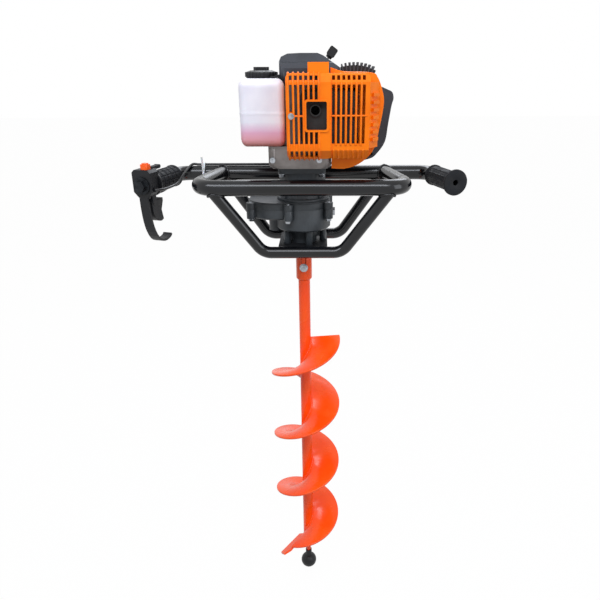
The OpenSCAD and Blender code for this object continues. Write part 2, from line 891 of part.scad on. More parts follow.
foot_r = bell_r + bell_wall + 5;
flange_bolt_at = clutch_flange_w / 2 - 7.5;

module at_foot_screws() {
  for (a = [45, 135, 225, 315]) rotate([0, 0, a]) translate([foot_r - 4, 0, 0]) children();
}

module at_flange_bolts() {
  for (x = [-1, 1]) for (y = [-1, 1]) translate([x * flange_bolt_at, y * flange_bolt_at, 0]) children();
}

module clutch_housing() {
  color([0.25, 0.27, 0.28]) difference() {
    union() {
      up(cover_top + fit) cylinder(r = foot_r + 1, h = 5);
      up(cover_top + fit) cylinder(r = bell_r + bell_wall, h = bell_height - fit, $fn = 96);
      up(bell_top - clutch_flange_t)
        rounded_box(clutch_flange_w, clutch_flange_w, clutch_flange_t, 9);
    }
    up(cover_top + 14) cylinder(r = bell_r, h = bell_height, $fn = 96);
    up(drum_bearing_z) cylinder(d = input_bearing_d, h = 40);
    up(cover_top - eps) cylinder(d = input_d + 8, h = 40);
    up(bell_top - clutch_flange_t - eps) at_flange_bolts()
      cylinder(d = case_bolt_d + 2 * fit, h = 40, $fn = 32);
    up(cover_top - eps) at_foot_screws() cylinder(d = screw_d + 2 * fit, h = 10, $fn = 32);
  }
}

module hex_bolts() {
  color("Silver") {
    at_lugs() {
      up(split_z - lug_h - 1) cylinder(d = case_bolt_d, h = lug_h + cover_h, $fn = 32);
      up(split_z - lug_h - fit) mirror([0, 0, 1]) bolt_head(case_bolt_d, 5);
    }
    at_flange_bolts() {
      up(bell_top - clutch_flange_t - 1) cylinder(d = case_bolt_d, h = clutch_flange_t + 5, $fn = 32);
      up(bell_top - clutch_flange_t - fit) mirror([0, 0, 1]) bolt_head(case_bolt_d, 6);
    }
    at_base_bolts() {
      up(plate_low - 1) cylinder(d = base_bolt_d, h = plate_t + 15, $fn = 32);
      up(plate_low - fit) mirror([0, 0, 1]) bolt_head(base_bolt_d, 5);
    }
  }
}

module clutch_drum() {
  color("DarkGray") difference() {
    union() {
      up(drum_low) cylinder(r = drum_r, h = drum_height, $fn = 96);
      up(drum_low - 1.5) cylinder(r = 10, h = 4);
    }
    up(drum_low + 3) difference() {
      cylinder(r = drum_r - drum_wall, h = drum_height, $fn = 96);
      cylinder(r = 10, h = 4);
    }
    up(drum_low - 5) cylinder(d = input_d + 2 * fit, h = 60);
  }
}

shoe_r = drum_r - drum_wall - 1;
hub_half = 10;

module hub_form() {
  up(shoe_z) difference() {
    linear_extrude(shoe_height) intersection() {
      circle(r = shoe_r - 1);
      union() {
        square([2 * shoe_r, 2 * hub_half], center = true);
        circle(r = 14);
      }
    }
    up(-eps) cylinder(d = crank_end_d + 2 * fit, h = shoe_height + 2 * eps);
  }
}

module shoe_pair() {
  up(shoe_z + 0.5) for (s = [-1, 1]) linear_extrude(shoe_height - 1) difference() {
    intersection() {
      circle(r = shoe_r, $fn = 96);
      translate([0, s * (hub_half + 0.2 + shoe_r)])
        square([2 * shoe_r, 2 * shoe_r], center = true);
    }
    circle(r = 14.2);
    for (x = [-1, 1]) translate([x * 17, s * 20]) circle(r = 3, $fn = 24);
  }
}

module clutch_rotor() {
  color("Gray") {
    hub_form();
    shoe_pair();
  }
}

// engine

function spline(a, b, c, d, t) =
0.5 * (2 * b + (c - a) * t + (2 * a - 5 * b + 4 * c - d) * t * t + (3 * b - a - 3 * c + d) * t * t * t);

function smooth(p, n) = [
  for (i = [0 : len(p) - 1]) for (k = [0 : n - 1])
    spline(p[(i + len(p) - 1) % len(p)], p[i], p[(i + 1) % len(p)], p[(i + 2) % len(p)], k / n)
    ];

module along_y(y0, y1) {
  translate([0, y1, 0]) rotate([90, 0, 0]) linear_extrude(y1 - y0) children();
}

case_screw_x = fan_case_w / 2 - 8;
case_screw_y = fan_case_depth / 2 - 8;

module at_case_screws() {
  for (y = [-1, 1]) translate([fan_cx + case_screw_x, y * case_screw_y, 0]) children();
}

module at_front_screws() {
  for (x = [-1, 0.72]) translate([fan_cx + x * case_screw_x, -fan_case_depth / 2 - fit, guard_low - 7])
    rotate([-90, 0, 0]) children();
}

module fan_housing() {
  color("Silver") difference() {
    union() {
      translate([fan_cx, 0, fan_low + 6]) rounded_box(fan_case_w, fan_case_depth, fan_case_h - 6, 12);
      translate([fan_cx, 0, fan_low + 3]) rounded_box(fan_case_w - 4, fan_case_depth - 4, 4, 12);
      translate([fan_cx, 0, fan_low]) rounded_box(fan_case_w - 12, fan_case_depth - 12, 4, 12);
    }
    up(fan_low + 5) cylinder(r = fan_r + 3, h = fan_case_h, $fn = 96);
    up(fan_low - eps) cylinder(r = 21, h = 20);
    translate([20, 5, fan_low + 8]) cube([60, fan_r - 6, fan_case_h]);
    up(fan_low - eps) at_flange_bolts() cylinder(d = case_bolt_d + 2 * fit, h = 8, $fn = 32);
    up(fan_top - 14) at_case_screws() cylinder(d = screw_d + 2 * fit, h = 20, $fn = 32);
    at_front_screws() cylinder(d = screw_d + 2 * fit, h = 11, $fn = 32);
  }
}

module crankcase_cuts() {
  up(crank_z - half_in) cylinder(r = web_r + 2.5, h = 2 * half_in, $fn = 96);
  up(main_low) cylinder(d = main_bearing_d, h = main_top + main_bearing_w - main_low);
  up(fan_top - eps) cylinder(d = journal_d + 3, h = case_top - fan_top + 2 * eps);
  up(crank_z) rotate([0, 90, 0]) cylinder(d = bore_d + 6, h = crankcase_w, $fn = 96);
}

module crankcase_lower() {
  color("Silver") difference() {
    union() {
      translate([fan_cx, 0, fan_top + fit])
        rounded_box(fan_case_w, fan_case_depth, case_flange_t - fit, 12);
      up(fan_top + fit) rounded_box(crankcase_w, crankcase_w, crankcase_half - 2 * fit, 8);
    }
    crankcase_cuts();
    up(fan_top - eps) at_case_screws() cylinder(d = screw_d + 2 * fit, h = 20, $fn = 32);
  }
}

module crankcase_upper() {
  color("Silver") difference() {
    up(crank_z + fit) rounded_box(crankcase_w, crankcase_w, crankcase_half - fit, 8);
    crankcase_cuts();
    up(case_top - 12) at_starter_screws() cylinder(d = screw_d + 2 * fit, h = 20, $fn = 32);
  }
}

module crankshaft() {
  low = shoe_z + 1;
  web_low = crank_z - web_gap / 2 - web_t;
  web_high = crank_z + web_gap / 2;
  color("DarkGray") {
    up(low) cylinder(d = crank_end_d, h = fly_low - low + eps);
    up(fly_low) cylinder(d = journal_d, h = web_low - fly_low + eps);
    up(web_low) cylinder(r = web_r, h = web_t, $fn = 96);
    up(web_high) cylinder(r = web_r, h = web_t, $fn = 96);
    up(web_high + web_t - eps) cylinder(d = journal_d, h = case_top + 6 - web_high - web_t);
    up(case_top + 2) cylinder(r = 13, h = 7);
  }
}

module flywheel_fan() {
  color("Silver") up(fly_low) difference() {
    union() {
      cylinder(r = fan_r - 10, h = 9);
      cylinder(r = 16, h = fly_h);
      for (k = [0 : 15]) rotate([0, 0, 22.5 * k]) translate([14, -1.25, 4])
        cube([fan_r - 14.5, 2.5, fly_h - 4]);
      up(4) cylinder(r = fan_r, h = 4);
    }
    up(-eps) cylinder(d = journal_d + 2 * fit, h = fly_h + 2 * eps);
  }
}

module connecting_rod() {
  t = web_gap - 3;
  color("DarkGray") up(crank_z - t / 2) difference() {
    union() {
      translate([pin_x, 0, 0]) cylinder(d = crankpin_d + 8, h = t);
      translate([wrist_x, 0, 0]) cylinder(d = wrist_pin_d + 7, h = t);
      translate([pin_x, -5, 2]) cube([rod_length, 10, t - 4]);
    }
    translate([pin_x, 0, -eps]) cylinder(d = crankpin_d + 2 * fit, h = t + 2 * eps);
    translate([wrist_x, 0, -eps]) cylinder(d = wrist_pin_d + 2 * fit, h = t + 2 * eps);
  }
}

module rod_pins() {
  crank_h = web_gap - 2 * gap;
  wrist_h = 0.8 * bore_d;
  color("LightGray") {
    translate([pin_x, 0, crank_z - crank_h / 2]) cylinder(d = crankpin_d, h = crank_h);
    translate([wrist_x, 0, crank_z - wrist_h / 2]) cylinder(d = wrist_pin_d, h = wrist_h);
  }
}

module piston() {
  r = bore_d / 2 - run_gap;
  h = skirt + crown_rise;
  color("Gainsboro") translate([skirt_x, 0, crank_z]) difference() {
    rotate([0, 90, 0]) difference() {
      cylinder(r = r, h = h, $fn = 96);
      up(-eps) cylinder(r = r - 4, h = h - 6, $fn = 96);
      for (z = [h - 5, h - 10]) up(z) ring(r + 1, r - 1.2, 1.6);
    }
    translate([skirt, 0, -r]) cylinder(d = wrist_pin_d + 2 * fit, h = 2 * r);
  }
}

module cylinder_block() {
  low = crankcase_w / 2 + fit;
  fin_step = (head_x - 3 - fin_start) / (fin_count - 1);
  color("Silver") up(crank_z) rotate([0, 90, 0]) difference() {
    union() {
      up(low - 6) cylinder(d = bore_d + 6 - 2 * fit, h = 10, $fn = 96);
      up(low) cylinder(d = bore_d + 14, h = head_x - low, $fn = 96);
      up(low) rounded_box(crankcase_w - 10, crankcase_w - 10, 6, 8);
      for (k = [0 : fin_count - 1]) up(fin_start + k * fin_step)
        rounded_box(fin_w, fin_w, 2.5, 10);
      translate([-13, -boss_y, port_x - 16]) cube([26, 2 * boss_y, 32]);
    }
    up(low - 10) cylinder(d = bore_d, h = deck_x - low + 10, $fn = 96);
    cylinder(d = plug_thread_d + 2 * fit, h = head_x + eps, $fn = 48);
    translate([0, -boss_y - eps, port_x]) rotate([-90, 0, 0])
      cylinder(d = 18, h = 2 * boss_y + 2 * eps);
  }
}

plug_thread_d = 14;

module spark_plug() {
  color("White") translate([deck_x + 1, 0, crank_z]) rotate([0, 90, 0]) {
    cylinder(d = plug_thread_d, h = head_x - deck_x, $fn = 48);
    up(head_x - deck_x - 1 + fit) hex(21, 8);
    up(head_x - deck_x + 6) cylinder(d = 19, h = 8);
    up(head_x - deck_x + 7) rotate([0, 90, 0]) cylinder(d = 12, h = 24);
  }
}

module muffler() {
  color([0.1, 0.1, 0.1]) difference() {
    union() {
      translate([muffler_x, 0, crank_z]) along_y(-muffler_front, -muffler_back)
        rounded_rect(muffler_w, muffler_h, 12);
      translate([muffler_x, 0, crank_z]) along_y(-muffler_front + 14, -muffler_front + 17)
        rounded_rect(muffler_w + 4, muffler_h + 4, 14);
      translate([port_x - 15, -muffler_back - eps, crank_z - 12])
        cube([30, muffler_back - boss_y - fit + eps, 24]);
      translate([outlet_x, 0, outlet_z]) along_y(-muffler_front - 4, -muffler_front + eps)
        circle(d = outlet_d + 4);
    }
    translate([outlet_x, 0, outlet_z]) along_y(-muffler_front - 6, -muffler_front + 12)
      circle(d = outlet_d);
    translate([muffler_x, 0, crank_z])
      along_y(-muffler_front + muffler_wall, -muffler_back - muffler_wall)
        rounded_rect(muffler_w - 2 * muffler_wall, muffler_h - 2 * muffler_wall, 9);
    translate([port_x, 0, crank_z]) along_y(-muffler_back - 12, 0) circle(d = 18);
  }
}

// covers

ridge_x = 52;
step_y = 6;

module guard_block(x0, x1, front, low, top, back) {
  mid = (x0 + x1) / 2;
  intersection() {
    translate([mid, 0, (low + top) / 2]) along_y(-front, -back) rounded_rect(x1 - x0, top - low, 7);
    translate([x0, 0, 0]) rotate([90, 0, 90]) linear_extrude(x1 - x0) polygon([
        [-back, low], [-front + 12, low], [-front, low + 15],
        [-front, top - 13], [-front + 10, top], [-back, top]
      ]);
  }
}

first_slot = 8;
slot_low = guard_low + 26;
slot_top = guard_top - 17;
left_count = 6;
right_count = 7;
right_first = ridge_x + 4.5;

module guard_slots() {
  for (k = [0 : left_count - 1]) let (x = -guard_left + first_slot + k * slot_pitch)
    for (z = [[slot_low, mid_bar_z - 1.5], [mid_bar_z + 1.5, slot_top],
        [guard_low + 4, guard_low + 14], [guard_top - 10, guard_top - 3]])
      translate([x - slot_w / 2, -guard_front - 5, z[0]]) cube([slot_w, 25, z[1] - z[0]]);
  for (k = [0 : right_count - 1]) let (x = right_first + k * slot_pitch)
    for (z = [[slot_low, mid_bar_z - 1.5], [mid_bar_z + 1.5, slot_top],
        [guard_top - 10, guard_top - 3]])
      translate([x - slot_w / 2, -guard_front - 5, z[0]]) cube([slot_w, 25, z[1] - z[0]]);
}

tab_left = 14;
tab_right = 49;
tab_top = guard_top + 17;
guard_screw_x = 5 - guard_left + 3;

module window_form(grow, front, depth) {
  translate([window_x, 0, window_z]) along_y(-guard_front - front, -guard_front - front + depth)
    rounded_rect(window_w + 2 * grow, window_h + 2 * grow, 3 + grow / 2);
}

louver_count = 7;
cheek_start = [guard_right - 1, step_y + 14 - guard_front];
cheek_right = guard_right + 18;

module muffler_guard() {
  t = cover_t;
  color("DarkOrange") difference() {
    union() {
      difference() {
        union() {
          guard_block(-guard_left, ridge_x, guard_front, guard_low, guard_top, guard_back);
          guard_block(ridge_x - 20, guard_right, guard_front - step_y, guard_low, guard_top, guard_back);
        }
        guard_block(-guard_left + t, ridge_x - t, guard_front - t,
          guard_low + t, guard_top - t, guard_back - eps);
        guard_block(ridge_x - 24, guard_right - t, guard_front - step_y - t,
          guard_low + t, guard_top - t, guard_back - eps);
        guard_slots();
      }
      difference() {
        window_form(3, 2, 9);
        window_form(0, 4, 14);
      }
      difference() {
        translate([tab_left, -guard_front + 20, guard_top - t])
          cube([tab_right - tab_left, guard_front - guard_back - 20, tab_top - guard_top + t]);
        translate([tab_left + t, -guard_front + 20 + t, guard_top - t - eps])
          cube([tab_right - tab_left - 2 * t, 60, tab_top - guard_top + eps]);
      }
      translate([guard_screw_x, 0, mid_bar_z]) along_y(-guard_front, -guard_back) circle(r = 6);
      up(guard_low + 16) linear_extrude(guard_top - guard_low - 30)
        polygon([cheek_start, [cheek_right, -guard_back], [guard_right - 1, -guard_back]]);
      for (k = [0 : louver_count - 1])
        translate([cheek_start[0], cheek_start[1], crank_z - 38 + 12 * k])
          rotate([0, 0, atan2(-guard_back - cheek_start[1], cheek_right - cheek_start[0])])
            translate([9, -4.5, 0]) cube([17, 9, 5.5]);
    }
    window_form(0, 4, 14);
    translate([guard_screw_x, 0, mid_bar_z]) along_y(-guard_front - eps, -guard_back + eps)
      circle(d = screw_d + 2 * fit, $fn = 32);
  }
}

shroud_w = 99;
shroud_h = 169;
shroud_left = ridge_x;
shroud_low = fan_low + 2;
shroud_ctrl = [
  [0, 0], [0.3, 0], [0.57, 0.065], [0.78, 0.2], [0.87, 0.42], [0.93, 0.65],
  [0.89, 0.78], [0.81, 0.89], [0.7, 0.935], [0.24, 0.945], [0, 0.985]
];
shroud_cx = shroud_left + 0.45 * shroud_w;
shroud_cz = shroud_low + 0.5 * shroud_h;

rear_ctrl = [
  [0, 0], [0.4, 0], [0.76, 0.035], [0.9, 0.09], [1.05, 0.22], [1.1, 0.41], [1.15, 0.6], [1.18, 0.67],
  [1.15, 0.735], [1.04, 0.768], [0.85, 0.82], [0.7, 0.915], [0.24, 0.928], [0, 0.967]
];

module shroud_2d(inset, ctrl) {
  k = 1 - 2 * inset / shroud_w;
  translate([shroud_cx, shroud_cz]) scale(k) translate([-shroud_cx, -shroud_cz]) polygon(open_smooth([
        for (p = ctrl) [shroud_left + p[0] * shroud_w, shroud_low + p[1] * shroud_h]
      ], 5));
}

wall_left = 73;

module engine_shroud() {
  color("DarkOrange") difference() {
    along_y(-shroud_front, shroud_split - fit) shroud_2d(0, shroud_ctrl);
    along_y(-shroud_front + cover_t, shroud_split + eps) shroud_2d(cover_t, shroud_ctrl);
    translate([0, -shroud_front + cover_t, fan_low - 10]) cube([wall_left, 200, 250]);
    translate([0, -shroud_front - eps, fan_low - 10])
      cube([fan_cx + fan_case_w / 2 + gap, 200, fan_case_h + case_flange_t + 11]);
    translate([0, -shroud_front - 10, crank_z - muffler_h / 2 - 3])
      cube([muffler_x + muffler_w / 2 + 3, 30, muffler_h + 6]);
  }
}

grille_count = 10;

module rear_shroud() {
  color([0.24, 0.26, 0.28]) difference() {
    union() {
      along_y(shroud_split, shroud_back) shroud_2d(0, rear_ctrl);
      for (k = [0 : grille_count - 1]) translate([shroud_cx, shroud_split, shroud_cz])
        rotate([0, -20 + 4.8 * k, 0]) translate([-1.25, 0, 60])
          cube([2.5, shroud_back - shroud_split - 6, 30]);
    }
    along_y(shroud_split - eps, shroud_back - cover_t) shroud_2d(cover_t, rear_ctrl);
    up(fan_low - 10) cube([wall_left, 200, 250]);
    translate([port_x - 30, shroud_split, crank_z - 24]) cube([60, 100, 48]);
    for (k = [0 : grille_count - 2]) translate([shroud_cx, shroud_split + 4, shroud_cz])
      rotate([0, -20 + 4.8 * (k + 0.5), 0]) translate([-2.2, 0, 50])
        cube([4.4, shroud_back - shroud_split - 14, 60]);
  }
}

// starter

module at_starter_screws() {
  for (x = [-1, 1]) for (y = [-1, 1])
    translate([2 + x * (starter_half - 6), y * (crankcase_w / 2 - 8), 0]) children();
}

starter_right = 70;
starter_y = crankcase_w / 2 + 5;
starter_left = starter_half - 2;

module starter_form(t) {
  low = starter_low + fit - (t > 0 ? 1 : 0);
  top = starter_top - t;
  intersection() {
    along_y(-starter_y + t, starter_y - t) polygon([
        [-starter_left + t, low], [-starter_left + t, top - 13], [-starter_left + 3, top - 6],
        [-starter_left + 14, top - 1], [-starter_left + 36, top], [30, top], [40, top - 4],
        [starter_right - t, top - 24], [starter_right - t, low]
      ]);
    rotate([90, 0, 90]) up(-starter_left) linear_extrude(starter_left + starter_right) polygon([
        [-starter_y + t, low], [-starter_y + t, top - 24], [-starter_y + 6, top - 16],
        [-starter_y + 14, top - 14], [-starter_y + 24, top], [starter_y - 24, top],
        [starter_y - 14, top - 14], [starter_y - t, top - 20], [starter_y - t, low]
      ]);
    translate([(starter_right - starter_left) / 2, 0, low])
      rounded_box(starter_right + starter_left - 2 * t, 2 * starter_y - 2 * t, 200, 10);
  }
}

module pull_frame() {
  translate([pull_x, pull_y, starter_top - 9]) rotate([0, pull_angle, 0]) children();
}

module starter_housing() {
  color([0.24, 0.26, 0.28]) difference() {
    union() {
      difference() {
        starter_form(0);
        starter_form(3);
      }
      up(starter_low + fit) intersection() {
        at_starter_screws() cylinder(r = 6, h = starter_h - 14);
        up(-starter_low) starter_form(0);
      }
      up(pulley_z + 17) cylinder(r = 6, h = starter_top - pulley_z - 19);
      up(pulley_z - 1) cylinder(d = pulley_pin_d, h = 22);
    }
    up(starter_low - eps) at_starter_screws() cylinder(d = screw_d + 2 * fit, h = 22, $fn = 32);
    pull_frame() up(-20) cylinder(d = rope_d + 1.6, h = 40, $fn = 32);
  }
}

pulley_pin_d = 10;
pulley_h = 14;

module starter_pulley() {
  color("Gray") up(pulley_z) difference() {
    union() {
      cylinder(r = pulley_r, h = 3);
      cylinder(r = pulley_r - 8, h = pulley_h);
      up(pulley_h - 3) cylinder(r = pulley_r, h = 3);
      up(-4) ring(11.5, 8, 5);
    }
    up(-10) cylinder(d = pulley_pin_d + 2 * run_gap, h = 40);
  }
}

module starter_rope() {
  color("White") pull_frame() up(-14) cylinder(d = rope_d, h = 16, $fn = 24);
}

module pull_handle() {
  color("Black") pull_frame() up(1.5) difference() {
    union() {
      cylinder(d1 = 10, d2 = 12, h = 5, $fn = 32);
      up(12) rotate([90, 0, 0]) up(-pull_length / 2) rounded_box(15, 16, pull_length, 3);
    }
    up(-eps) cylinder(d = rope_d + 2 * fit, h = 9, $fn = 24);
  }
}

// carburettor and air filter

carb_w = 36;
carb_h = 34;
carb_low = crank_z - carb_h / 2;
bulb_h = 7;

module carburettor() {
  color("LightGray") difference() {
    union() {
      translate([port_x - 15, boss_y + fit, crank_z - 13]) cube([30, insulator_y - boss_y, 26]);
      translate([port_x - carb_w / 2, insulator_y, carb_low])
        cube([carb_w, carb_back - insulator_y, carb_h]);
      translate([port_x, 0, crank_z]) along_y(carb_back - eps, filter_y - fit) circle(r = 14);
      translate([port_x + carb_w / 2 - eps, insulator_y + 15, crank_z + 4]) rotate([0, 90, 0])
        cylinder(r = 7, h = 5);
    }
    translate([port_x, 0, crank_z]) along_y(0, filter_y + eps) circle(d = 16);
  }
}

module primer_bulb() {
  color("WhiteSmoke") translate([port_x, insulator_y + 15, carb_low - fit]) {
    up(-2) cylinder(d = primer_d, h = 2);
    up(-2) intersection() {
      scale(1) sphere(d = primer_d - 3, $fn = 48);
      up(-bulb_h) cylinder(d = primer_d, h = bulb_h + eps);
    }
  }
}

choke_x = port_x + 30;
choke_z = crank_z + 26;
choke_y = filter_y - gap;

module choke_lever() {
  color("Black") translate([choke_x, choke_y, choke_z]) rotate([90, 0, 0]) difference() {
    union() {
      cylinder(d = 11, h = 4);
      translate([-4, 0, 0.3]) cube([8, 24, 3]);
      translate([0, 24, 0.3]) cylinder(d = 12, h = 6);
    }
    up(-eps) cylinder(d = lever_pin_d + 2 * run_gap, h = 10, $fn = 32);
  }
}

module filter_base() {
  color([0.2, 0.2, 0.2]) difference() {
    union() {
      translate([port_x, 0, crank_z]) along_y(filter_y, filter_y + filter_base_t)
        rounded_rect(filter_w, filter_h, 12);
      translate([choke_x, 0, choke_z]) along_y(choke_y - 5, filter_y + 1)
        circle(d = lever_pin_d, $fn = 32);
    }
    translate([port_x, 0, crank_z]) along_y(filter_y - eps, filter_y + filter_base_t + eps)
      circle(d = 16);
  }
}

module filter_cover() {
  y0 = filter_y + filter_base_t + fit;
  color([0.24, 0.26, 0.28]) translate([port_x, 0, crank_z]) difference() {
    union() {
      along_y(y0, y0 + filter_depth - 5) rounded_rect(filter_w, filter_h, 12);
      along_y(y0 + filter_depth - 5 - eps, y0 + filter_depth)
        rounded_rect(filter_w - 10, filter_h - 10, 12);
      for (k = [-2 : 2]) up(12 * k) along_y(y0 + filter_depth - eps, y0 + filter_depth + 2)
        rounded_rect(filter_w - 30, 4, 1.5);
      along_y(y0 + filter_depth - eps, y0 + filter_depth + 10) circle(r = 11);
    }
    along_y(y0 - eps, y0 + filter_depth - 7) rounded_rect(filter_w - 6, filter_h - 6, 10);
  }
}

// fuel tank

tank_front = fan_case_depth / 2 + 10;
tank_inner = 45;
tank_step = 46;

module tank_plan(t) {
  union() {
    translate([-(tank_w + tank_right + tank_inner) / 2, (tank_depth - 2 * tank_front) / 2])
      rounded_rect(tank_w + tank_right - tank_inner - 2 * t, tank_depth - 2 * t, tank_r - t);
    translate([-(tank_w / 2 + tank_right), -(tank_front + tank_step) / 2])
      rounded_rect(tank_w - 2 * t, tank_front - tank_step - 2 * t, 11 - t);
    translate([-tank_right - tank_w + t, -tank_step - 12])
      square([tank_w + tank_right - tank_inner - 2 * t, 40]);
  }
}

module tank_form(t) {
  intersection() {
    up(tank_low + t) linear_extrude(tank_h - 2 * t) tank_plan(t);
    translate([tank_x, 0, tank_low + tank_h / 2]) along_y(-tank_front - 1, tank_depth)
      rounded_rect(tank_w - 2 * t, tank_h - 2 * t, tank_r - t);
  }
}

cap_x = -69;
neck_top = tank_top + neck_h_tank;

module fuel_tank() {
  color("White") difference() {
    union() {
      tank_form(0);
      translate([cap_x, cap_y, tank_top - 1]) cylinder(d = neck_d, h = neck_h_tank + 1);
    }
    tank_form(tank_wall);
    translate([cap_x, cap_y, tank_top - tank_wall - 1])
      cylinder(d = neck_d - 2 * tank_wall, h = neck_h_tank + 10);
    translate([hose_x, 0, hose_z]) along_y(hose_y - 10, hose_y + 10)
      circle(d = hose_d + 2 * gap, $fn = 32);
  }
}

module fuel_cap() {
  color("Black") translate([cap_x, cap_y, 0]) difference() {
    union() {
      up(tank_top + gap) cylinder(d = cap_d - 2, h = 2);
      up(tank_top + 2) cylinder(d = cap_d, h = neck_h_tank - 1);
      up(neck_top + 1 - eps) cylinder(d1 = cap_d, d2 = cap_d - 18, h = 3);
      up(neck_top + 1) rounded_box(27, 12, 8, 4);
      for (k = [0 : 23]) rotate([0, 0, 15 * k]) translate([cap_d / 2, 0, tank_top + 2])
        cylinder(r = 1, h = neck_h_tank - 1.5, $fn = 16);
    }
    up(tank_top - eps) cylinder(d = neck_d + 2 * gap, h = neck_h_tank + eps + gap);
  }
}

// swept cords

hose_d = 6;

function unit(v) = v / norm(v);

function path_dir(p, i) = unit(p[min(i + 1, len(p) - 1)] - p[max(i - 1, 0)]);

function side_of(d) = unit(cross(d, abs(d[2]) > 0.8 ? [0, 1, 0] : [0, 0, 1]));

function open_smooth(p, n) = concat([
    for (i = [0 : len(p) - 2]) for (k = [0 : n - 1])
      spline(p[max(i - 1, 0)], p[i], p[i + 1], p[min(i + 2, len(p) - 1)], k / n)
      ], [p[len(p) - 1]]);

// a side vector carried along the path without twist
function carry(p, i, u) = i >= len(p) ? [] : let (d = path_dir(p, i))
  let (v = unit(u - d * (u * d))) concat([v], carry(p, i + 1, v));

module cord(path, d, sides) {
  u = carry(path, 0, side_of(path_dir(path, 0)));
  n = len(path);
  points = [
    for (i = [0 : n - 1]) let (w = cross(path_dir(path, i), u[i])) for (k = [0 : sides - 1])
      path[i] + d / 2 * (cos(360 * k / sides) * u[i] + sin(360 * k / sides) * w)
      ];
  faces = concat(
    [[for (k = [sides - 1 : -1 : 0]) k]],
    [for (i = [0 : n - 2]) for (k = [0 : sides - 1]) each [
        [i * sides + k, i * sides + (k + 1) % sides, (i + 1) * sides + (k + 1) % sides],
        [i * sides + k, (i + 1) * sides + (k + 1) % sides, (i + 1) * sides + k]
      ]],
    [[for (k = [0 : sides - 1]) (n - 1) * sides + k]]
  );
  turned = [for (f = faces) [for (k = [len(f) - 1 : -1 : 0]) f[k]]];
  polyhedron(points = points, faces = turned, convexity = 8);
}

hose_x = -75;
hose_y = tank_depth - tank_front;
hose_z = tank_low + 26;
hose_path = open_smooth([
    [hose_x, hose_y - 4, hose_z], [hose_x, hose_y, hose_z], [hose_x, hose_y + 5, hose_z],
    [hose_x + 2, hose_y + 10, hose_z], [hose_x + 20, hose_y + 20, hose_z],
    [-10, hose_y + 16, hose_z + 6], [port_x - carb_w / 2 - 20, insulator_y + 16, carb_low + 8],
    [port_x - carb_w / 2 - 8, insulator_y + 16, carb_low + 8],
    [port_x - carb_w / 2 - 0.6, insulator_y + 16, carb_low + 8]
  ], 5);

module fuel_line() {
  color("Black") cord(hose_path, hose_d, 10);
}

// throttle handle, in the frame of the left arm: x toward the machine, y up, z forward

module along_arm(z0, z1) {
  up(z0) linear_extrude(z1 - z0) children();
}

head_half = thr_head_w / 2;

module head_outline() {
  polygon([
      [-head_half, -thr_head_down + 10], [-head_half + 9, -thr_head_down],
      [head_half - 9, -thr_head_down], [head_half, -thr_head_down + 10],
      [head_half, thr_head_up - 5], [head_half - 5, thr_head_up],
      [-head_half + 5, thr_head_up], [-head_half, thr_head_up - 5]
    ]);
}

module strip_2d(p, t) {
  n = len(p) - 1;
  side = [for (i = [0 : n]) let (v = p[min(i + 1, n)] - p[max(i - 1, 0)])
      [-v[1], v[0]] * t / (2 * norm(v))];
  polygon(concat([for (i = [0 : n]) p[i] + side[i]], [for (i = [n : -1 : 0]) p[i] - side[i]]));
}

// the hand guard's line, forward and up from the tube's end
guard_line = open_smooth([
    [thr_end - 2.5, -8], [thr_end - 2.5, -thr_head_down - 0.22 * guard_drop],
    [thr_end - 8, -thr_head_down - 0.62 * guard_drop], [thr_end - 22, -thr_head_down - 0.9 * guard_drop],
    [thr_end - 42, -thr_head_down - guard_drop], [thr_end - 60, -thr_head_down - 0.98 * guard_drop],
    [thr_end - 67, -thr_head_down - 0.93 * guard_drop]
  ], 3);

trigger_s = thr_end - 16;
trigger_y = -thr_head_down - 9;
ear_t = 4;

module across(w) {
  rotate([0, -90, 0]) up(-w / 2) linear_extrude(w) children();
}

module throttle_body() {
  color([0.13, 0.13, 0.14]) on_arm(-1) difference() {
    union() {
      difference() {
        union() {
          along_arm(thr_head_start, thr_end) head_outline();
          along_arm(thr_head_start - 4, thr_head_start + 1) circle(r = 24, $fn = 64);
        }
        translate([-6, thr_head_up - 8, thr_head_start - 5]) cube([12, 20, 15]);
      }
      across(guard_w) strip_2d(guard_line, guard_t);
      for (s = [-1, 1]) translate([s * (trigger_w / 2 + gap + ear_t / 2), 0, 0]) across(ear_t) {
        translate([trigger_s, trigger_y]) circle(r = 6);
        translate([trigger_s - 6, trigger_y]) square([12, 13]);
      }
      translate([-trigger_w / 2 - 2, trigger_y, trigger_s]) rotate([0, 90, 0])
        cylinder(d = lever_pin_d, h = trigger_w + 4, $fn = 32);
      for (s = [-1, 1]) translate([s * (6 + 2), 0, 0]) across(4) translate([lock_s, lock_y])
        circle(r = 4.5);
      translate([-7, lock_y, lock_s]) rotate([0, 90, 0])
        cylinder(d = lever_pin_d, h = 14, $fn = 32);
    }
    up(thr_start) cylinder(d = rail_d + 2 * fit, h = left_arm - thr_start + fit);
    cylinder(d = 12 + 2 * fit, h = thr_end + 10);
  }
}

lock_s = thr_head_start + 5;
lock_y = thr_head_up - 1;

module throttle_lock() {
  color("Black") on_arm(-1) across(10) difference() {
    union() {
      translate([lock_s, lock_y]) circle(r = 4);
      translate([lock_s - 34, lock_y - 3.5]) square([34, 6]);
      translate([lock_s - 34, lock_y]) circle(r = 3.5);
    }
    translate([lock_s, lock_y]) circle(d = lever_pin_d + 2 * run_gap, $fn = 32);
  }
}

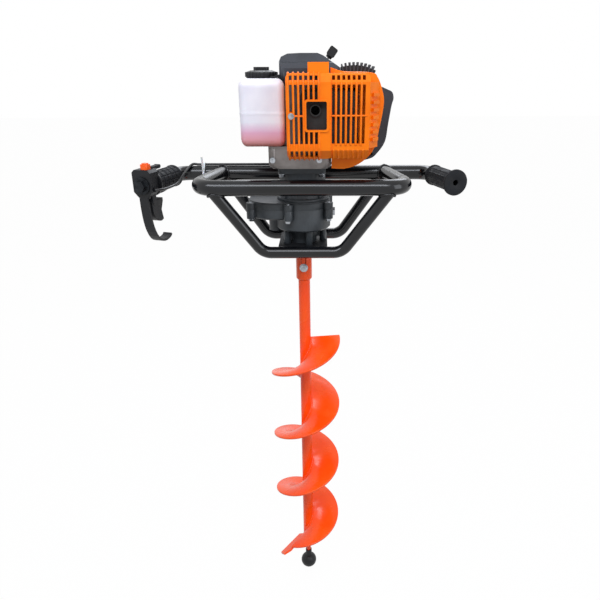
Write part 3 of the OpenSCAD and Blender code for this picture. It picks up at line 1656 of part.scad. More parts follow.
module throttle_trigger() {
  d = trigger_length;
  color([0.15, 0.16, 0.18]) on_arm(-1) across(trigger_w) translate([trigger_s, trigger_y])
    difference() {
    polygon(concat(
        [for (k = [0 : 6]) 5 * [cos(100 - 22 * k), sin(100 - 22 * k)]],
        [for (k = [0 : 10]) let (a = 9 * k)
            [-0.62 * d + 0.62 * d * cos(a) + 3, -0.35 * d - 0.65 * d * sin(a)]],
          [[-0.72 * d, -0.95 * d], [-0.62 * d, -0.5 * d], [-0.8 * d, -0.12 * d],
            [-0.8 * d, 0.02 * d]]
        ));
    circle(d = lever_pin_d + 2 * run_gap, $fn = 32);
  }
}

module throttle_grip() {
  color([0.12, 0.12, 0.12]) on_arm(-1) up(thr_start) difference() {
    union() {
      cylinder(d = thr_grip_d, h = thr_grip_length, $fn = 64);
      cylinder(d = thr_grip_d + 5, h = 5, $fn = 64);
      for (k = [1 : 4]) up(k * (thr_grip_length - 4) / 5)
        cylinder(d = thr_grip_d + 2.4, h = 2.5, $fn = 64);
      for (k = [0 : 11]) rotate([0, 0, 30 * k]) translate([thr_grip_d / 2 - 0.6, -1.4, 3])
        cube([1.5, 2.8, thr_grip_length - 5]);
      translate([0, -9, 0.4 * thr_grip_length])
        cylinder(d1 = 18, d2 = 27, h = 0.3 * thr_grip_length);
      translate([0, -9, 0.7 * thr_grip_length - eps])
        cylinder(d1 = 27, d2 = 24, h = 0.3 * thr_grip_length + eps);
    }
    up(-eps) cylinder(d = rail_d + 2 * fit, h = thr_grip_length + 2 * eps);
  }
}

switch_s = thr_head_start + 11;
switch_l = 14;
switch_h = 11;

module stop_switch() {
  color("OrangeRed") on_arm(-1) translate([5, thr_head_up + gap, switch_s]) rotate([-90, 0, 0])
    translate([0, -switch_l / 2, 0]) union() {
    rounded_box(switch_w, switch_l, switch_h - 2, 3);
    up(switch_h - 2 - eps) rounded_box(switch_w - 4, switch_l - 4, 2 + eps, 3);
  }
}

module end_bolt() {
  color([0.2, 0.2, 0.2]) on_arm(-1) {
    up(thr_end + fit) cylinder(d = end_washer_d, h = 3, $fn = 64);
    up(thr_end + 3) hex(end_bolt_flats, 8);
    up(thr_end - 34) cylinder(d = 12, h = 36);
  }
}

function on_left(x, y, s) = [
  -arm_x + x * cos(arm_angle) - s * sin(arm_angle),
  arm_y - x * sin(arm_angle) - s * cos(arm_angle),
  rail_z + y
];

tie_x = -203;
cable_r = rail_d / 2 + cable_d / 2 + gap;
cable_path = open_smooth([
    on_left(head_half + 0.8, -8, thr_head_start + 18), on_left(head_half + 4, -8, thr_head_start + 17),
    on_left(head_half + 8, -9, thr_head_start + 8),
    on_left(head_half + 8, -10, thr_head_start - 12), on_left(head_half + 7, -8, 40),
    on_left(head_half + 6, 4, 12), [-bar_half + 2, rail_y - 4, rail_z + cable_r],
    [tie_x - 10, rail_y, rail_z + cable_r], [tie_x, rail_y, rail_z + cable_r],
    [tie_x + 10, rail_y, rail_z + cable_r], [-150, rail_y, rail_z + cable_r],
    [-100, rail_y, rail_z + cable_r], [-50, rail_y, rail_z + cable_r],
    [20, rail_y, rail_z + cable_r], [62, rail_y, rail_z + cable_r + 3],
    [83, rail_y - 1, rail_z + 34], [port_x + 14, rail_y - 4, rail_z + 60],
    [port_x + 14, insulator_y + 22, carb_low - 18], [port_x + 14, insulator_y + 22, carb_low - 7],
    [port_x + 14, insulator_y + 22, carb_low - 0.8]
  ], 4);

module throttle_cable() {
  color("Black") cord(cable_path, cable_d, 8);
}

module cable_tie() {
  r = rail_d / 2;
  color("White") translate([tie_x, rail_y, rail_z]) rotate([90, 0, 90]) {
    linear_extrude(3.6) difference() {
      union() {
        circle(r = r + 1.4);
        translate([0, cable_r]) circle(r = cable_d / 2 + 1.6);
      }
      circle(r = r + fit);
      translate([0, cable_r]) circle(r = cable_d / 2 + fit);
    }
    translate([-r - 5, -3, 0]) cube([4.5, 7, 3.6]);
    translate([-r - 3, 2, 0]) rotate([0, 0, 14]) cube([1.4, 34, 3.6]);
  }
}

// screws of the covers

module screw(l) {
  cylinder(d = screw_d, h = l, $fn = 32);
  difference() {
    up(-3.2) cylinder(d = 2 * screw_d, h = 3.2, $fn = 32);
    translate([-0.6, -screw_d, -4]) cube([1.2, 2 * screw_d, 2]);
  }
}

module cover_screws() {
  color("Silver") {
    translate([guard_screw_x, -guard_front - fit, mid_bar_z]) rotate([-90, 0, 0])
      screw(guard_front - guard_back + 2);
    up(fan_top + case_flange_t + fit) at_case_screws() mirror([0, 0, 1]) screw(16);
    at_front_screws() screw(10);
    up(starter_low - 11) at_starter_screws() cylinder(d = screw_d, h = 30, $fn = 32);
  }
}

// the pieces

handlebar();
upper_hoop();
front_v_hoop();
rear_v_hoop();
base_plate();
right_grip();
throttle_body();
throttle_grip();
throttle_trigger();
throttle_lock();
stop_switch();
end_bolt();
throttle_cable();
cable_tie();
gearbox_lower();
gearbox_upper();
hex_bolts();
oil_plug();
bearings();
input_pinion();
countershaft();
output_gear();
output_shaft();
clutch_housing();
clutch_drum();
clutch_rotor();
fan_housing();
crankcase_lower();
crankcase_upper();
crankshaft();
flywheel_fan();
connecting_rod();
rod_pins();
piston();
cylinder_block();
spark_plug();
muffler();
muffler_guard();
engine_shroud();
rear_shroud();
cover_screws();
starter_housing();
starter_pulley();
starter_rope();
pull_handle();
carburettor();
primer_bulb();
choke_lever();
filter_base();
filter_cover();
fuel_tank();
fuel_cap();
fuel_line();
bit_socket();
coupling_bolt();
bit_shaft();
bit_flight();
cutting_blade();
pilot_point();
tip_ball();
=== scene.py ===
"""Looks of a petrol earth auger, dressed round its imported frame. Lengths are in metres, and +Z is up."""
import json
import math

import bmesh
import bpy
from mathutils import Matrix, Vector


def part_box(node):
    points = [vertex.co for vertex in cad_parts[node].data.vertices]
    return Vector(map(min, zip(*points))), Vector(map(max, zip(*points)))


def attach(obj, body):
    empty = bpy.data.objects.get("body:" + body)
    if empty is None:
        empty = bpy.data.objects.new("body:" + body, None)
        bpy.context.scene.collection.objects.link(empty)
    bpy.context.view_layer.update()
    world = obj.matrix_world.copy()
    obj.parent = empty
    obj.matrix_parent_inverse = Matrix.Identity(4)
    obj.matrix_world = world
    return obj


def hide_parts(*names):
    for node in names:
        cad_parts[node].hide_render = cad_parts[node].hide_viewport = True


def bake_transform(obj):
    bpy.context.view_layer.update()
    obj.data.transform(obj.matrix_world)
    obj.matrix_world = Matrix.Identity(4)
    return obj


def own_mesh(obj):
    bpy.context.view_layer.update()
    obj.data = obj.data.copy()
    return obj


MM = 0.001

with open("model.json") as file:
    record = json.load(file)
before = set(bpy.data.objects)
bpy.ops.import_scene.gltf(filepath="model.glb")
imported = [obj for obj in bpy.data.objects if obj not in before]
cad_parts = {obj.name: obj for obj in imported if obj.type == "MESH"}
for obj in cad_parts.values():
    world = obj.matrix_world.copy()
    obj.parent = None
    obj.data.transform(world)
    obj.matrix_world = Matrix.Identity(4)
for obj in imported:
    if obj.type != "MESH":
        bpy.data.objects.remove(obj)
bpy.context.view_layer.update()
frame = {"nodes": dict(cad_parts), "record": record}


# Camera, at the photograph's viewing angle in its frame of 600 by 600

IMAGE_SIDE = 600
FOCAL_PIXELS = 571.06
AXIS_PIXEL = (321.9, 317.8)
SENSOR = 36.0
CAMERA_PLACE = (0.0361, -1.1071, 1.1979)
TILT, ROLL = math.pi / 2 - 0.4177, -0.0035

camera_data = bpy.data.cameras.new("camera")
camera = bpy.data.objects.new("camera", camera_data)
bpy.context.scene.collection.objects.link(camera)
camera.location = CAMERA_PLACE
camera.rotation_euler = (Matrix.Rotation(TILT, 3, "X") @ Matrix.Rotation(ROLL, 3, "Z")).to_euler()
camera_data.sensor_width = SENSOR
camera_data.lens = SENSOR * FOCAL_PIXELS / IMAGE_SIDE
camera_data.shift_x = (IMAGE_SIDE / 2 - AXIS_PIXEL[0]) / IMAGE_SIDE
camera_data.shift_y = (AXIS_PIXEL[1] - IMAGE_SIDE / 2) / IMAGE_SIDE
camera_data.clip_end = 100
bpy.context.scene.camera = camera
bpy.context.scene.view_settings.view_transform = "Standard"


# Shader tools


def linear(code):
    """An sRGB hex colour as linear red, green, blue and alpha."""
    parts = [int(code[i : i + 2], 16) / 255 for i in (1, 3, 5)]
    return [c / 12.92 if c <= 0.04045 else ((c + 0.055) / 1.055) ** 2.4 for c in parts] + [1.0]


def per(size_mm):
    """Texture scale whose features are about that many millimetres wide."""
    return 1 / (size_mm * MM)


def add(tree, kind, settings=(), links=()):
    """A shader node: settings go to its own properties or its sockets, links join sockets to outputs."""
    node = tree.nodes.new("ShaderNode" + kind)
    for key, value in dict(settings).items():
        if isinstance(key, int) or key in node.inputs:
            node.inputs[key].default_value = value
        else:
            setattr(node, key, value)
    for key, output in dict(links).items():
        tree.links.new(output, node.inputs[key])
    return node


def new_tree(name):
    """A material with an empty node tree."""
    material = bpy.data.materials.new(name)
    material.use_nodes = True
    material.node_tree.nodes.clear()
    return material, material.node_tree


def coated(name, dark, light, mottle_mm, rough, grain_mm, depth_mm, strength, **sockets):
    """A surface whose colour and roughness drift over mottle_mm, under a skin with a grain of grain_mm."""
    material, tree = new_tree(name)
    place = add(tree, "TexCoord").outputs["Object"]
    mottle = add(tree, "TexNoise", {"Scale": per(mottle_mm), "Detail": 3.0}, {"Vector": place})
    drift = add(tree, "MapRange", {"From Min": 0.35, "From Max": 0.65}, {"Value": mottle.outputs["Fac"]})
    colour = add(
        tree,
        "Mix",
        {"data_type": "RGBA", "A": linear(dark), "B": linear(light)},
        {"Factor": drift.outputs["Result"]},
    )
    dull, duller = rough
    gloss = add(tree, "MapRange", {"To Min": dull, "To Max": duller}, {"Value": drift.outputs["Result"]})
    grain = add(tree, "TexNoise", {"Scale": per(grain_mm), "Detail": 2.0}, {"Vector": place})
    depth = depth_mm * MM
    relief = add(tree, "Bump", {"Distance": depth, "Strength": strength}, {"Height": grain.outputs["Fac"]})
    shader = add(
        tree,
        "BsdfPrincipled",
        {key.replace("_", " "): value for key, value in sockets.items()},
        {
            "Base Color": colour.outputs["Result"],
            "Roughness": gloss.outputs["Result"],
            "Normal": relief.outputs["Normal"],
        },
    )
    add(tree, "OutputMaterial", (), {"Surface": shader.outputs["BSDF"]})
    return material


# Materials, one section each


# Stove enamel sprayed on steel tube: deep gloss black with a slight orange peel; its faint blue cast is a
# painted reflection of the sky.
black_enamel = coated(
    "black_stove_enamel", "#06070A", "#0E1015", mottle_mm=60, rough=(0.14, 0.22),
    grain_mm=6, depth_mm=0.05, strength=0.25, IOR=1.52, Specular_IOR_Level=0.42,
)

# The same enamel on the flat base plate, dulled by dust and handling.
dulled_enamel = coated(
    "dulled_black_enamel", "#0A0B0D", "#131417", mottle_mm=40, rough=(0.55, 0.70),
    grain_mm=5, depth_mm=0.06, strength=0.3, IOR=1.52, Specular_IOR_Level=0.2,
)

# Enamel sprayed on the welded bit: saturated orange-red with a soft gloss and peel.
orange_enamel = coated(
    "orange_red_enamel", "#FF4A06", "#FF560C", mottle_mm=45, rough=(0.20, 0.30),
    grain_mm=4, depth_mm=0.05, strength=0.25, IOR=1.5, Specular_IOR_Level=0.4,
)

# Die-cast aluminium under satin dark grey paint: the cast skin shows as a fine pebble.
painted_casting = coated(
    "dark_painted_casting", "#2A2E32", "#383D41", mottle_mm=30, rough=(0.40, 0.54),
    grain_mm=1.6, depth_mm=0.12, strength=0.55, IOR=1.5,
)

# Bare die-cast aluminium: satin, warm grey, with flow clouds and a sandy skin.
die_cast_aluminium = coated(
    "die_cast_aluminium", "#706B69", "#898482", mottle_mm=25, rough=(0.40, 0.54),
    grain_mm=1.2, depth_mm=0.08, strength=0.45, Metallic=1.0,
)

# Zinc plate on steel fasteners: bright, slightly cloudy, blue-white.
zinc_plate = coated(
    "zinc_plated_steel", "#8B8F95", "#B4B8BE", mottle_mm=6, rough=(0.22, 0.36),
    grain_mm=0.9, depth_mm=0.03, strength=0.3, Metallic=1.0,
)

# Machined steel of gears and shafts: grey with fine cut marks.
machined_steel = coated(
    "machined_steel", "#7E8084", "#94969A", mottle_mm=8, rough=(0.28, 0.40),
    grain_mm=0.7, depth_mm=0.04, strength=0.4, Metallic=1.0,
)

# Black oxide on the throttle's end bolt: dark, low gloss metal.
black_oxide = coated(
    "black_oxide_steel", "#1F2124", "#2E3135", mottle_mm=7, rough=(0.36, 0.50),
    grain_mm=0.8, depth_mm=0.05, strength=0.4, Metallic=0.8,
)

# Moulded ABS of the covers: strong orange with a spark-eroded fine grain.
orange_abs = coated(
    "orange_moulded_abs", "#F27300", "#FC8003", mottle_mm=50, rough=(0.34, 0.44),
    grain_mm=0.9, depth_mm=0.05, strength=0.35, IOR=1.53, Specular_IOR_Level=0.25,
)

# Moulded glass-filled nylon: dark blue-grey, dull, with a fine grain.
grey_nylon = coated(
    "dark_grey_nylon", "#272A30", "#33363D", mottle_mm=35, rough=(0.46, 0.60),
    grain_mm=1.0, depth_mm=0.06, strength=0.45, IOR=1.53, Specular_IOR_Level=0.4,
)

# Moulded black polypropylene of caps and levers: soft sheen, fine grain; its faint blue cast is a painted
# reflection of the sky.
black_polypropylene = coated(
    "black_polypropylene", "#0C0D10", "#14161A", mottle_mm=25, rough=(0.40, 0.54),
    grain_mm=0.9, depth_mm=0.05, strength=0.4, IOR=1.49, Specular_IOR_Level=0.35,
)

# Moulded black rubber of the grips: dull, slightly dusty, with a pebbled skin; its faint blue cast is a painted
# reflection of the sky.
black_rubber = coated(
    "black_moulded_rubber", "#0A0B0E", "#14161B", mottle_mm=12, rough=(0.58, 0.76),
    grain_mm=1.3, depth_mm=0.12, strength=0.6, IOR=1.52, Specular_IOR_Level=0.25,
)

# Moulded signal-orange plastic of the stop switch: glossy.
switch_plastic = coated(
    "signal_orange_plastic", "#FA5206", "#FF600E", mottle_mm=20, rough=(0.26, 0.34),
    grain_mm=1.5, depth_mm=0.03, strength=0.2, IOR=1.5,
)

# Heat-proof paint on the pressed muffler: matt black with a gritty skin.
muffler_paint = coated(
    "heat_proof_paint", "#0D0D0E", "#1B1A19", mottle_mm=14, rough=(0.66, 0.84),
    grain_mm=0.9, depth_mm=0.08, strength=0.6, IOR=1.5,
)

# White nylon of the cable tie: waxy and slightly clear.
white_nylon = coated(
    "white_nylon", "#E4E4E6", "#F2F2F3", mottle_mm=12, rough=(0.34, 0.44),
    grain_mm=1.0, depth_mm=0.03, strength=0.2, IOR=1.53, Subsurface_Weight=0.2,
)

# PVC sleeve of cable and hose: smooth black with a faint wavy skin.
black_pvc = coated(
    "black_pvc_sleeve", "#0E0E10", "#18181A", mottle_mm=20, rough=(0.34, 0.46),
    grain_mm=3, depth_mm=0.05, strength=0.3, IOR=1.53,
)

# Clear soft PVC of the primer bulb: faintly yellow and see-through.
clear_pvc = coated(
    "clear_soft_pvc", "#DAD6BE", "#E8E5D2", mottle_mm=10, rough=(0.10, 0.18),
    grain_mm=4, depth_mm=0.03, strength=0.2, IOR=1.53, Transmission_Weight=0.75,
)

FUEL_DEPTH, FUEL_EDGE = 33 * MM, 9 * MM
FUEL_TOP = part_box("fuel_tank")[0][2] + FUEL_DEPTH


def tank_polyethylene():
    """Blow-moulded natural polyethylene: milky and waxy; the pink fuel shows through its lower part, which
    turns red-brown towards the bottom as a painted reflection of the reddish ground.
    """
    material, tree = new_tree("milky_polyethylene")
    place = add(tree, "TexCoord").outputs["Object"]
    height = add(tree, "SeparateXYZ", (), {"Vector": place}).outputs["Z"]
    cloud = add(tree, "TexNoise", {"Scale": per(40), "Detail": 3.0}, {"Vector": place})
    drift = add(tree, "MapRange", {"From Min": 0.35, "From Max": 0.65}, {"Value": cloud.outputs["Fac"]})
    empty = add(
        tree,
        "Mix",
        {"data_type": "RGBA", "A": linear("#E3E1EB"), "B": linear("#EEECF3")},
        {"Factor": drift.outputs["Result"]},
    )
    # From the tank's bottom to just under the fuel's top, the fuel's pink turns red-brown downward; that
    # red-brown is a painted reflection of the reddish ground.
    fuel = {"From Min": FUEL_TOP - FUEL_DEPTH, "From Max": FUEL_TOP - 6 * MM}
    depth = add(tree, "MapRange", fuel, {"Value": height})
    fuel_and_painted_ground_reflection = add(
        tree,
        "Mix",
        {"data_type": "RGBA", "A": linear("#D98A7E"), "B": linear("#DCABC5")},
        {"Factor": depth.outputs["Result"]},
    )
    edge = {"From Min": FUEL_TOP - FUEL_EDGE, "From Max": FUEL_TOP + FUEL_EDGE}
    level = add(tree, "MapRange", edge, {"Value": height})
    body = add(
        tree,
        "Mix",
        {"data_type": "RGBA"},
        {"Factor": level.outputs["Result"], "A": fuel_and_painted_ground_reflection.outputs["Result"], "B": empty.outputs["Result"]},
    )
    gloss = add(tree, "MapRange", {"To Min": 0.34, "To Max": 0.44}, {"Value": drift.outputs["Result"]})
    grain = add(tree, "TexNoise", {"Scale": per(1.5), "Detail": 2.0}, {"Vector": place})
    relief = add(tree, "Bump", {"Distance": 0.05 * MM, "Strength": 0.3}, {"Height": grain.outputs["Fac"]})
    shader = add(
        tree,
        "BsdfPrincipled",
        {
            "IOR": 1.51,
            "Subsurface Weight": 0.35,
            "Subsurface Scale": 0.012,
            "Subsurface Radius": (1, 0.85, 0.9),
        },
        {
            "Base Color": body.outputs["Result"],
            "Roughness": gloss.outputs["Result"],
            "Normal": relief.outputs["Normal"],
        },
    )
    add(tree, "OutputMaterial", (), {"Surface": shader.outputs["BSDF"]})
    return material


milky_polyethylene = tank_polyethylene()


def braided_cord():
    """Braided nylon starter cord: two sets of strands wound both ways, about 1.2 mm apart."""
    material, tree = new_tree("braided_nylon_cord")
    place = add(tree, "TexCoord").outputs["Object"]
    strands = []
    for lean in (0.9, -0.9):
        leaned = add(tree, "Mapping", {"Rotation": (0, lean, 0)}, {"Vector": place}).outputs["Vector"]
        wave = add(tree, "TexWave", {"Scale": per(1.2) / 20, "Distortion": 0.4}, {"Vector": leaned})
        strands.append(wave.outputs["Fac"])
    weave = add(tree, "Math", {"operation": "MULTIPLY"}, {0: strands[0], 1: strands[1]})
    colour = add(
        tree,
        "Mix",
        {"data_type": "RGBA", "A": linear("#8E8C86"), "B": linear("#D8D6CF")},
        {"Factor": weave.outputs["Value"]},
    )
    relief = add(tree, "Bump", {"Distance": 0.3 * MM, "Strength": 0.8}, {"Height": weave.outputs["Value"]})
    shader = add(
        tree,
        "BsdfPrincipled",
        {"Roughness": 0.8, "IOR": 1.53},
        {"Base Color": colour.outputs["Result"], "Normal": relief.outputs["Normal"]},
    )
    add(tree, "OutputMaterial", (), {"Surface": shader.outputs["BSDF"]})
    return material


nylon_braid = braided_cord()

FINISHES = {
    "black_paint": black_enamel,
    "orange_paint": orange_enamel,
    "dark_cast": painted_casting,
    "cast_aluminium": die_cast_aluminium,
    "zinc": zinc_plate,
    "steel": machined_steel,
    "dark_bolt": black_oxide,
    "orange_plastic": orange_abs,
    "dark_plastic": grey_nylon,
    "black_plastic": black_polypropylene,
    "black_rubber": black_rubber,
    "switch_orange": switch_plastic,
    "tank_plastic": milky_polyethylene,
    "muffler_black": muffler_paint,
    "white_nylon": white_nylon,
    "rope_white": nylon_braid,
    "clear_bulb": clear_pvc,
}


# Mesh tools

BAR_SIDES = 12


def piece(name, mesh, slot, body, smooth=True):
    """A mesh becomes a piece on that body, with the finish of that slot."""
    made = bpy.data.objects.new(name, mesh)
    bpy.context.scene.collection.objects.link(made)
    made.data.materials.append(FINISHES[slot])
    if smooth:
        made.data.shade_smooth()
    else:
        made.data.shade_flat()
    if body:
        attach(made, body)
    return made


def mesh_of(name, points, faces):
    """A mesh of points in metres, with joined doubles and its faces turned outward."""
    mesh = bpy.data.meshes.new(name)
    mesh.from_pydata([tuple(p) for p in points], [], faces)
    mesh.validate()
    form = bmesh.new()
    form.from_mesh(mesh)
    bmesh.ops.remove_doubles(form, verts=form.verts, dist=0.001 * MM)
    bmesh.ops.recalc_face_normals(form, faces=form.faces)
    form.to_mesh(mesh)
    form.free()
    return mesh


def softened(made, width_mm, segments=2, angle=35):
    """Rounds the edges of a piece that are sharper than angle, as a mould or a file leaves them."""
    weld = made.modifiers.new("weld", "WELD")
    weld.merge_threshold = 0.01 * MM
    bevel = made.modifiers.new("bevel", "BEVEL")
    bevel.width = width_mm * MM
    bevel.segments = segments
    bevel.limit_method = "ANGLE"
    bevel.angle_limit = math.radians(angle)
    bevel.harden_normals = True
    return made


def skin(rings, capped=True):
    """Points and faces of a skin over rings of the same number of points."""
    count = len(rings[0])
    points = [p for ring in rings for p in ring]
    faces = []
    for i in range(len(rings) - 1):
        for k in range(count):
            a, b = i * count + k, i * count + (k + 1) % count
            faces.append((a, b, b + count, a + count))
    if capped:
        faces.append(tuple(reversed(range(count))))
        faces.append(tuple(range((len(rings) - 1) * count, len(rings) * count)))
    return points, faces


def smooth_route(points, steps):
    """A smooth line through the points, as the part's source draws it."""
    stops = [Vector(p) for p in points]
    line = []
    for i in range(len(stops) - 1):
        a, b, c, d = stops[max(i - 1, 0)], stops[i], stops[i + 1], stops[min(i + 2, len(stops) - 1)]
        for k in range(steps):
            t = k / steps
            line.append(
                0.5
                * (2 * b + (c - a) * t + (2 * a - 5 * b + 4 * c - d) * t**2 + (3 * b - a - 3 * c + d) * t**3)
            )
    return line + [stops[-1]]


def rings_along(line, radius, sides):
    """Round rings square to a line, carried along it without twist; radius may be a function of 0 to 1."""
    ahead = [(line[min(i + 1, len(line) - 1)] - line[max(i - 1, 0)]).normalized() for i in range(len(line))]
    side = ahead[0].orthogonal().normalized()
    rings = []
    for i, (point, way) in enumerate(zip(line, ahead)):
        side = (side - way * side.dot(way)).normalized()
        other = way.cross(side)
        r = radius(i / (len(line) - 1)) if callable(radius) else radius
        turn = [2 * math.pi * k / sides for k in range(sides)]
        rings.append([point + (side * math.cos(a) + other * math.sin(a)) * r for a in turn])
    return rings


def slab(name, outline, low, high, place, slot, edge_mm):
    """An outline pushed from low to high with softened edges; place(u, v, w) gives a point in millimetres."""
    rings = [[Vector(place(u, v, w)) * MM for u, v in outline] for w in (low, high)]
    return softened(piece(name, mesh_of(name, *skin(rings)), slot, "frame", smooth=False), edge_mm)


def bars(name, lines_mm, radius_mm, slot):
    """Round bars with domed ends along lines, as one piece; millimetres."""
    points, faces = [], []
    dome = [math.radians(a) for a in (78, 52, 26)]
    for line in lines_mm:
        line = [Vector(p) * MM for p in line]
        start, end = (line[0] - line[1]).normalized(), (line[-1] - line[-2]).normalized()
        r = radius_mm * MM
        radii = [r * math.cos(a) for a in dome] + [r] * len(line) + [r * math.cos(a) for a in reversed(dome)]
        whole = (
            [line[0] + start * r * math.sin(a) for a in dome]
            + line
            + [line[-1] + end * r * math.sin(a) for a in reversed(dome)]
        )
        last = len(whole) - 1
        rings = rings_along(whole, lambda t, radii=radii, last=last: radii[round(t * last)], BAR_SIDES)
        more, sides_of = skin(rings)
        faces += [tuple(k + len(points) for k in face) for face in sides_of]
        points += more
    return piece(name, mesh_of(name, points, faces), slot, "frame")


def turned(name, profile, place, sides, slot, body="frame", swell=None, hollow=False):
    """A turned piece: profile of (along, radius) in millimetres; swell(angle, along) adds to the radius.
    A hollow one's profile goes round and closes on itself."""
    rings = []
    for along, radius in profile:
        ring = []
        for k in range(sides):
            a = 2 * math.pi * k / sides
            r = radius + (swell(a, along) if swell else 0)
            ring.append(Vector(place(r * math.cos(a), r * math.sin(a), along)) * MM)
        rings.append(ring)
    if hollow:
        rings.append(rings[0])
    return piece(name, mesh_of(name, *skin(rings, capped=not hollow)), slot, body)


# Cords: they run where the part's own solids run

BAR_HALF, BAR_BEND, RAIL_Y, RAIL_Z, RAIL_R = 228, 30, 79.5, 996, 14.25
ARM_LEAN = math.radians(17)
ARM_X = BAR_HALF + BAR_BEND * math.cos(ARM_LEAN)
ARM_Y = RAIL_Y - BAR_BEND * (1 - math.sin(ARM_LEAN))
HEAD_START, HEAD_HALF = 91, 19


def beside_arm(side, x, y, s):
    """A point beside an arm, in millimetres: x to the object's right, y up, s forward along the arm."""
    return (
        side * ARM_X + x * math.cos(ARM_LEAN) + side * s * math.sin(ARM_LEAN),
        ARM_Y + side * x * math.sin(ARM_LEAN) - s * math.cos(ARM_LEAN),
        RAIL_Z + y,
    )


def on_left(x, y, s):
    return beside_arm(-1, x, y, s)


def on_right(x, y, s):
    return beside_arm(1, x, y, s)


CABLE_D, HOSE_D = 5.0, 6.0
CABLE_GAP = 0.3
CABLE_TOP = RAIL_Z + RAIL_R + CABLE_D / 2 + CABLE_GAP
TIE_X = -203
PORT_X, INSULATOR_Y, CARB_LOW = 74, 52, 1097.1
CABLE_STOPS = [
    on_left(HEAD_HALF + 0.8, -8, HEAD_START + 18),
    on_left(HEAD_HALF + 4, -8, HEAD_START + 17),
    on_left(HEAD_HALF + 8, -9, HEAD_START + 8),
    on_left(HEAD_HALF + 8, -10, HEAD_START - 12),
    on_left(HEAD_HALF + 7, -8, 40),
    on_left(HEAD_HALF + 6, 4, 12),
    (-BAR_HALF + 2, RAIL_Y - 4, CABLE_TOP),
    (TIE_X - 10, RAIL_Y, CABLE_TOP),
    (TIE_X, RAIL_Y, CABLE_TOP),
    (TIE_X + 10, RAIL_Y, CABLE_TOP),
    (-150, RAIL_Y, CABLE_TOP),
    (-100, RAIL_Y, CABLE_TOP),
    (-50, RAIL_Y, CABLE_TOP),
    (20, RAIL_Y, CABLE_TOP),
    (62, RAIL_Y, CABLE_TOP + 3),
    (83, RAIL_Y - 1, RAIL_Z + 34),
    (PORT_X + 14, RAIL_Y - 4, RAIL_Z + 60),
    (PORT_X + 14, INSULATOR_Y + 22, CARB_LOW - 18),
    (PORT_X + 14, INSULATOR_Y + 22, CARB_LOW - 7),
    (PORT_X + 14, INSULATOR_Y + 22, CARB_LOW - 0.8),
]

HOSE_X, HOSE_Y, HOSE_Z = -75, 62, 1091.15
CARB_SIDE = PORT_X - 18
HOSE_STOPS = [
    (HOSE_X, HOSE_Y - 4, HOSE_Z),
    (HOSE_X, HOSE_Y, HOSE_Z),
    (HOSE_X, HOSE_Y + 5, HOSE_Z),
    (HOSE_X + 2, HOSE_Y + 10, HOSE_Z),
    (HOSE_X + 20, HOSE_Y + 20, HOSE_Z),
    (-10, HOSE_Y + 16, HOSE_Z + 6),
    (CARB_SIDE - 20, INSULATOR_Y + 16, CARB_LOW + 8),
    (CARB_SIDE - 8, INSULATOR_Y + 16, CARB_LOW + 8),
    (CARB_SIDE - 0.6, INSULATOR_Y + 16, CARB_LOW + 8),
]


def sleeve(name, line, outside_mm, slot):
    """A moulded sleeve over the end of a cord, with a collar at its root and the rings by which a real one
    bends.
    """

    def radius(t):
        ring = 0.35 * math.cos(2 * math.pi * 5 * t)
        return (outside_mm / 2 * (1.25 if t < 0.15 else 1.05 - 0.25 * t) + ring) * MM

    steps = [line[0].lerp(line[-1], k / 30) for k in range(31)]
    made = piece(name, mesh_of(name, *skin(rings_along(steps, radius, 20))), slot, "frame")
    return softened(made, 0.2, 1)


def run_cord(name, stops_mm, steps, diameter_mm, node, material, sleeves):
    """A cord on its route in the place of its solid, with an end sleeve of sleeves times its diameter."""
    line = smooth_route([Vector(p) * MM for p in stops_mm], steps)
    curve = bpy.data.curves.new(name, "CURVE")
    curve.dimensions = "3D"
    curve.bevel_depth = diameter_mm / 2 * MM
    curve.bevel_resolution = 5
    curve.use_fill_caps = True
    spline = curve.splines.new("POLY")
    spline.points.add(len(line) - 1)
    for point, place in zip(spline.points, line):
        point.co = (*place, 1)
    made = bpy.data.objects.new(name, curve)
    bpy.context.scene.collection.objects.link(made)
    curve.materials.append(material)
    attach(made, "frame")
    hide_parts(node)
    ends = [
        sleeve(name + "_root", line[:2], diameter_mm * sleeves, "black_rubber"),
        sleeve(name + "_end", line[:-3:-1], diameter_mm * sleeves, "black_rubber"),
    ]
    return made


run_cord(
    "throttle_cable_sleeve", CABLE_STOPS, 6, CABLE_D, "throttle_cable", black_pvc, 1.5
)
run_cord("fuel_hose", HOSE_STOPS, 8, HOSE_D, "fuel_line", black_pvc, 1.4)

# The starter rope leaves the housing, leaning as the pull handle leans.
PULL_LEAN = math.radians(36)
PULL_WAY = Vector((math.sin(PULL_LEAN), 0, math.cos(PULL_LEAN)))
ROPE_R, ROPE_HALF = 1.75, 8
rope_low, rope_high = (Vector(corner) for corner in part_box("starter_rope"))
rope_mid = (rope_low + rope_high) / 2
rope_line = [rope_mid + PULL_WAY * (-ROPE_HALF + k / 2) * MM for k in range(4 * ROPE_HALF + 1)]
rope_skin = skin(rings_along(rope_line, ROPE_R * MM, 16))
rope = piece("pull_rope", mesh_of("pull_rope", *rope_skin), "rope_white", None)
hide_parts("starter_rope")
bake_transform(rope)


# Finishes of the solids that stay, with their edges rounded as made

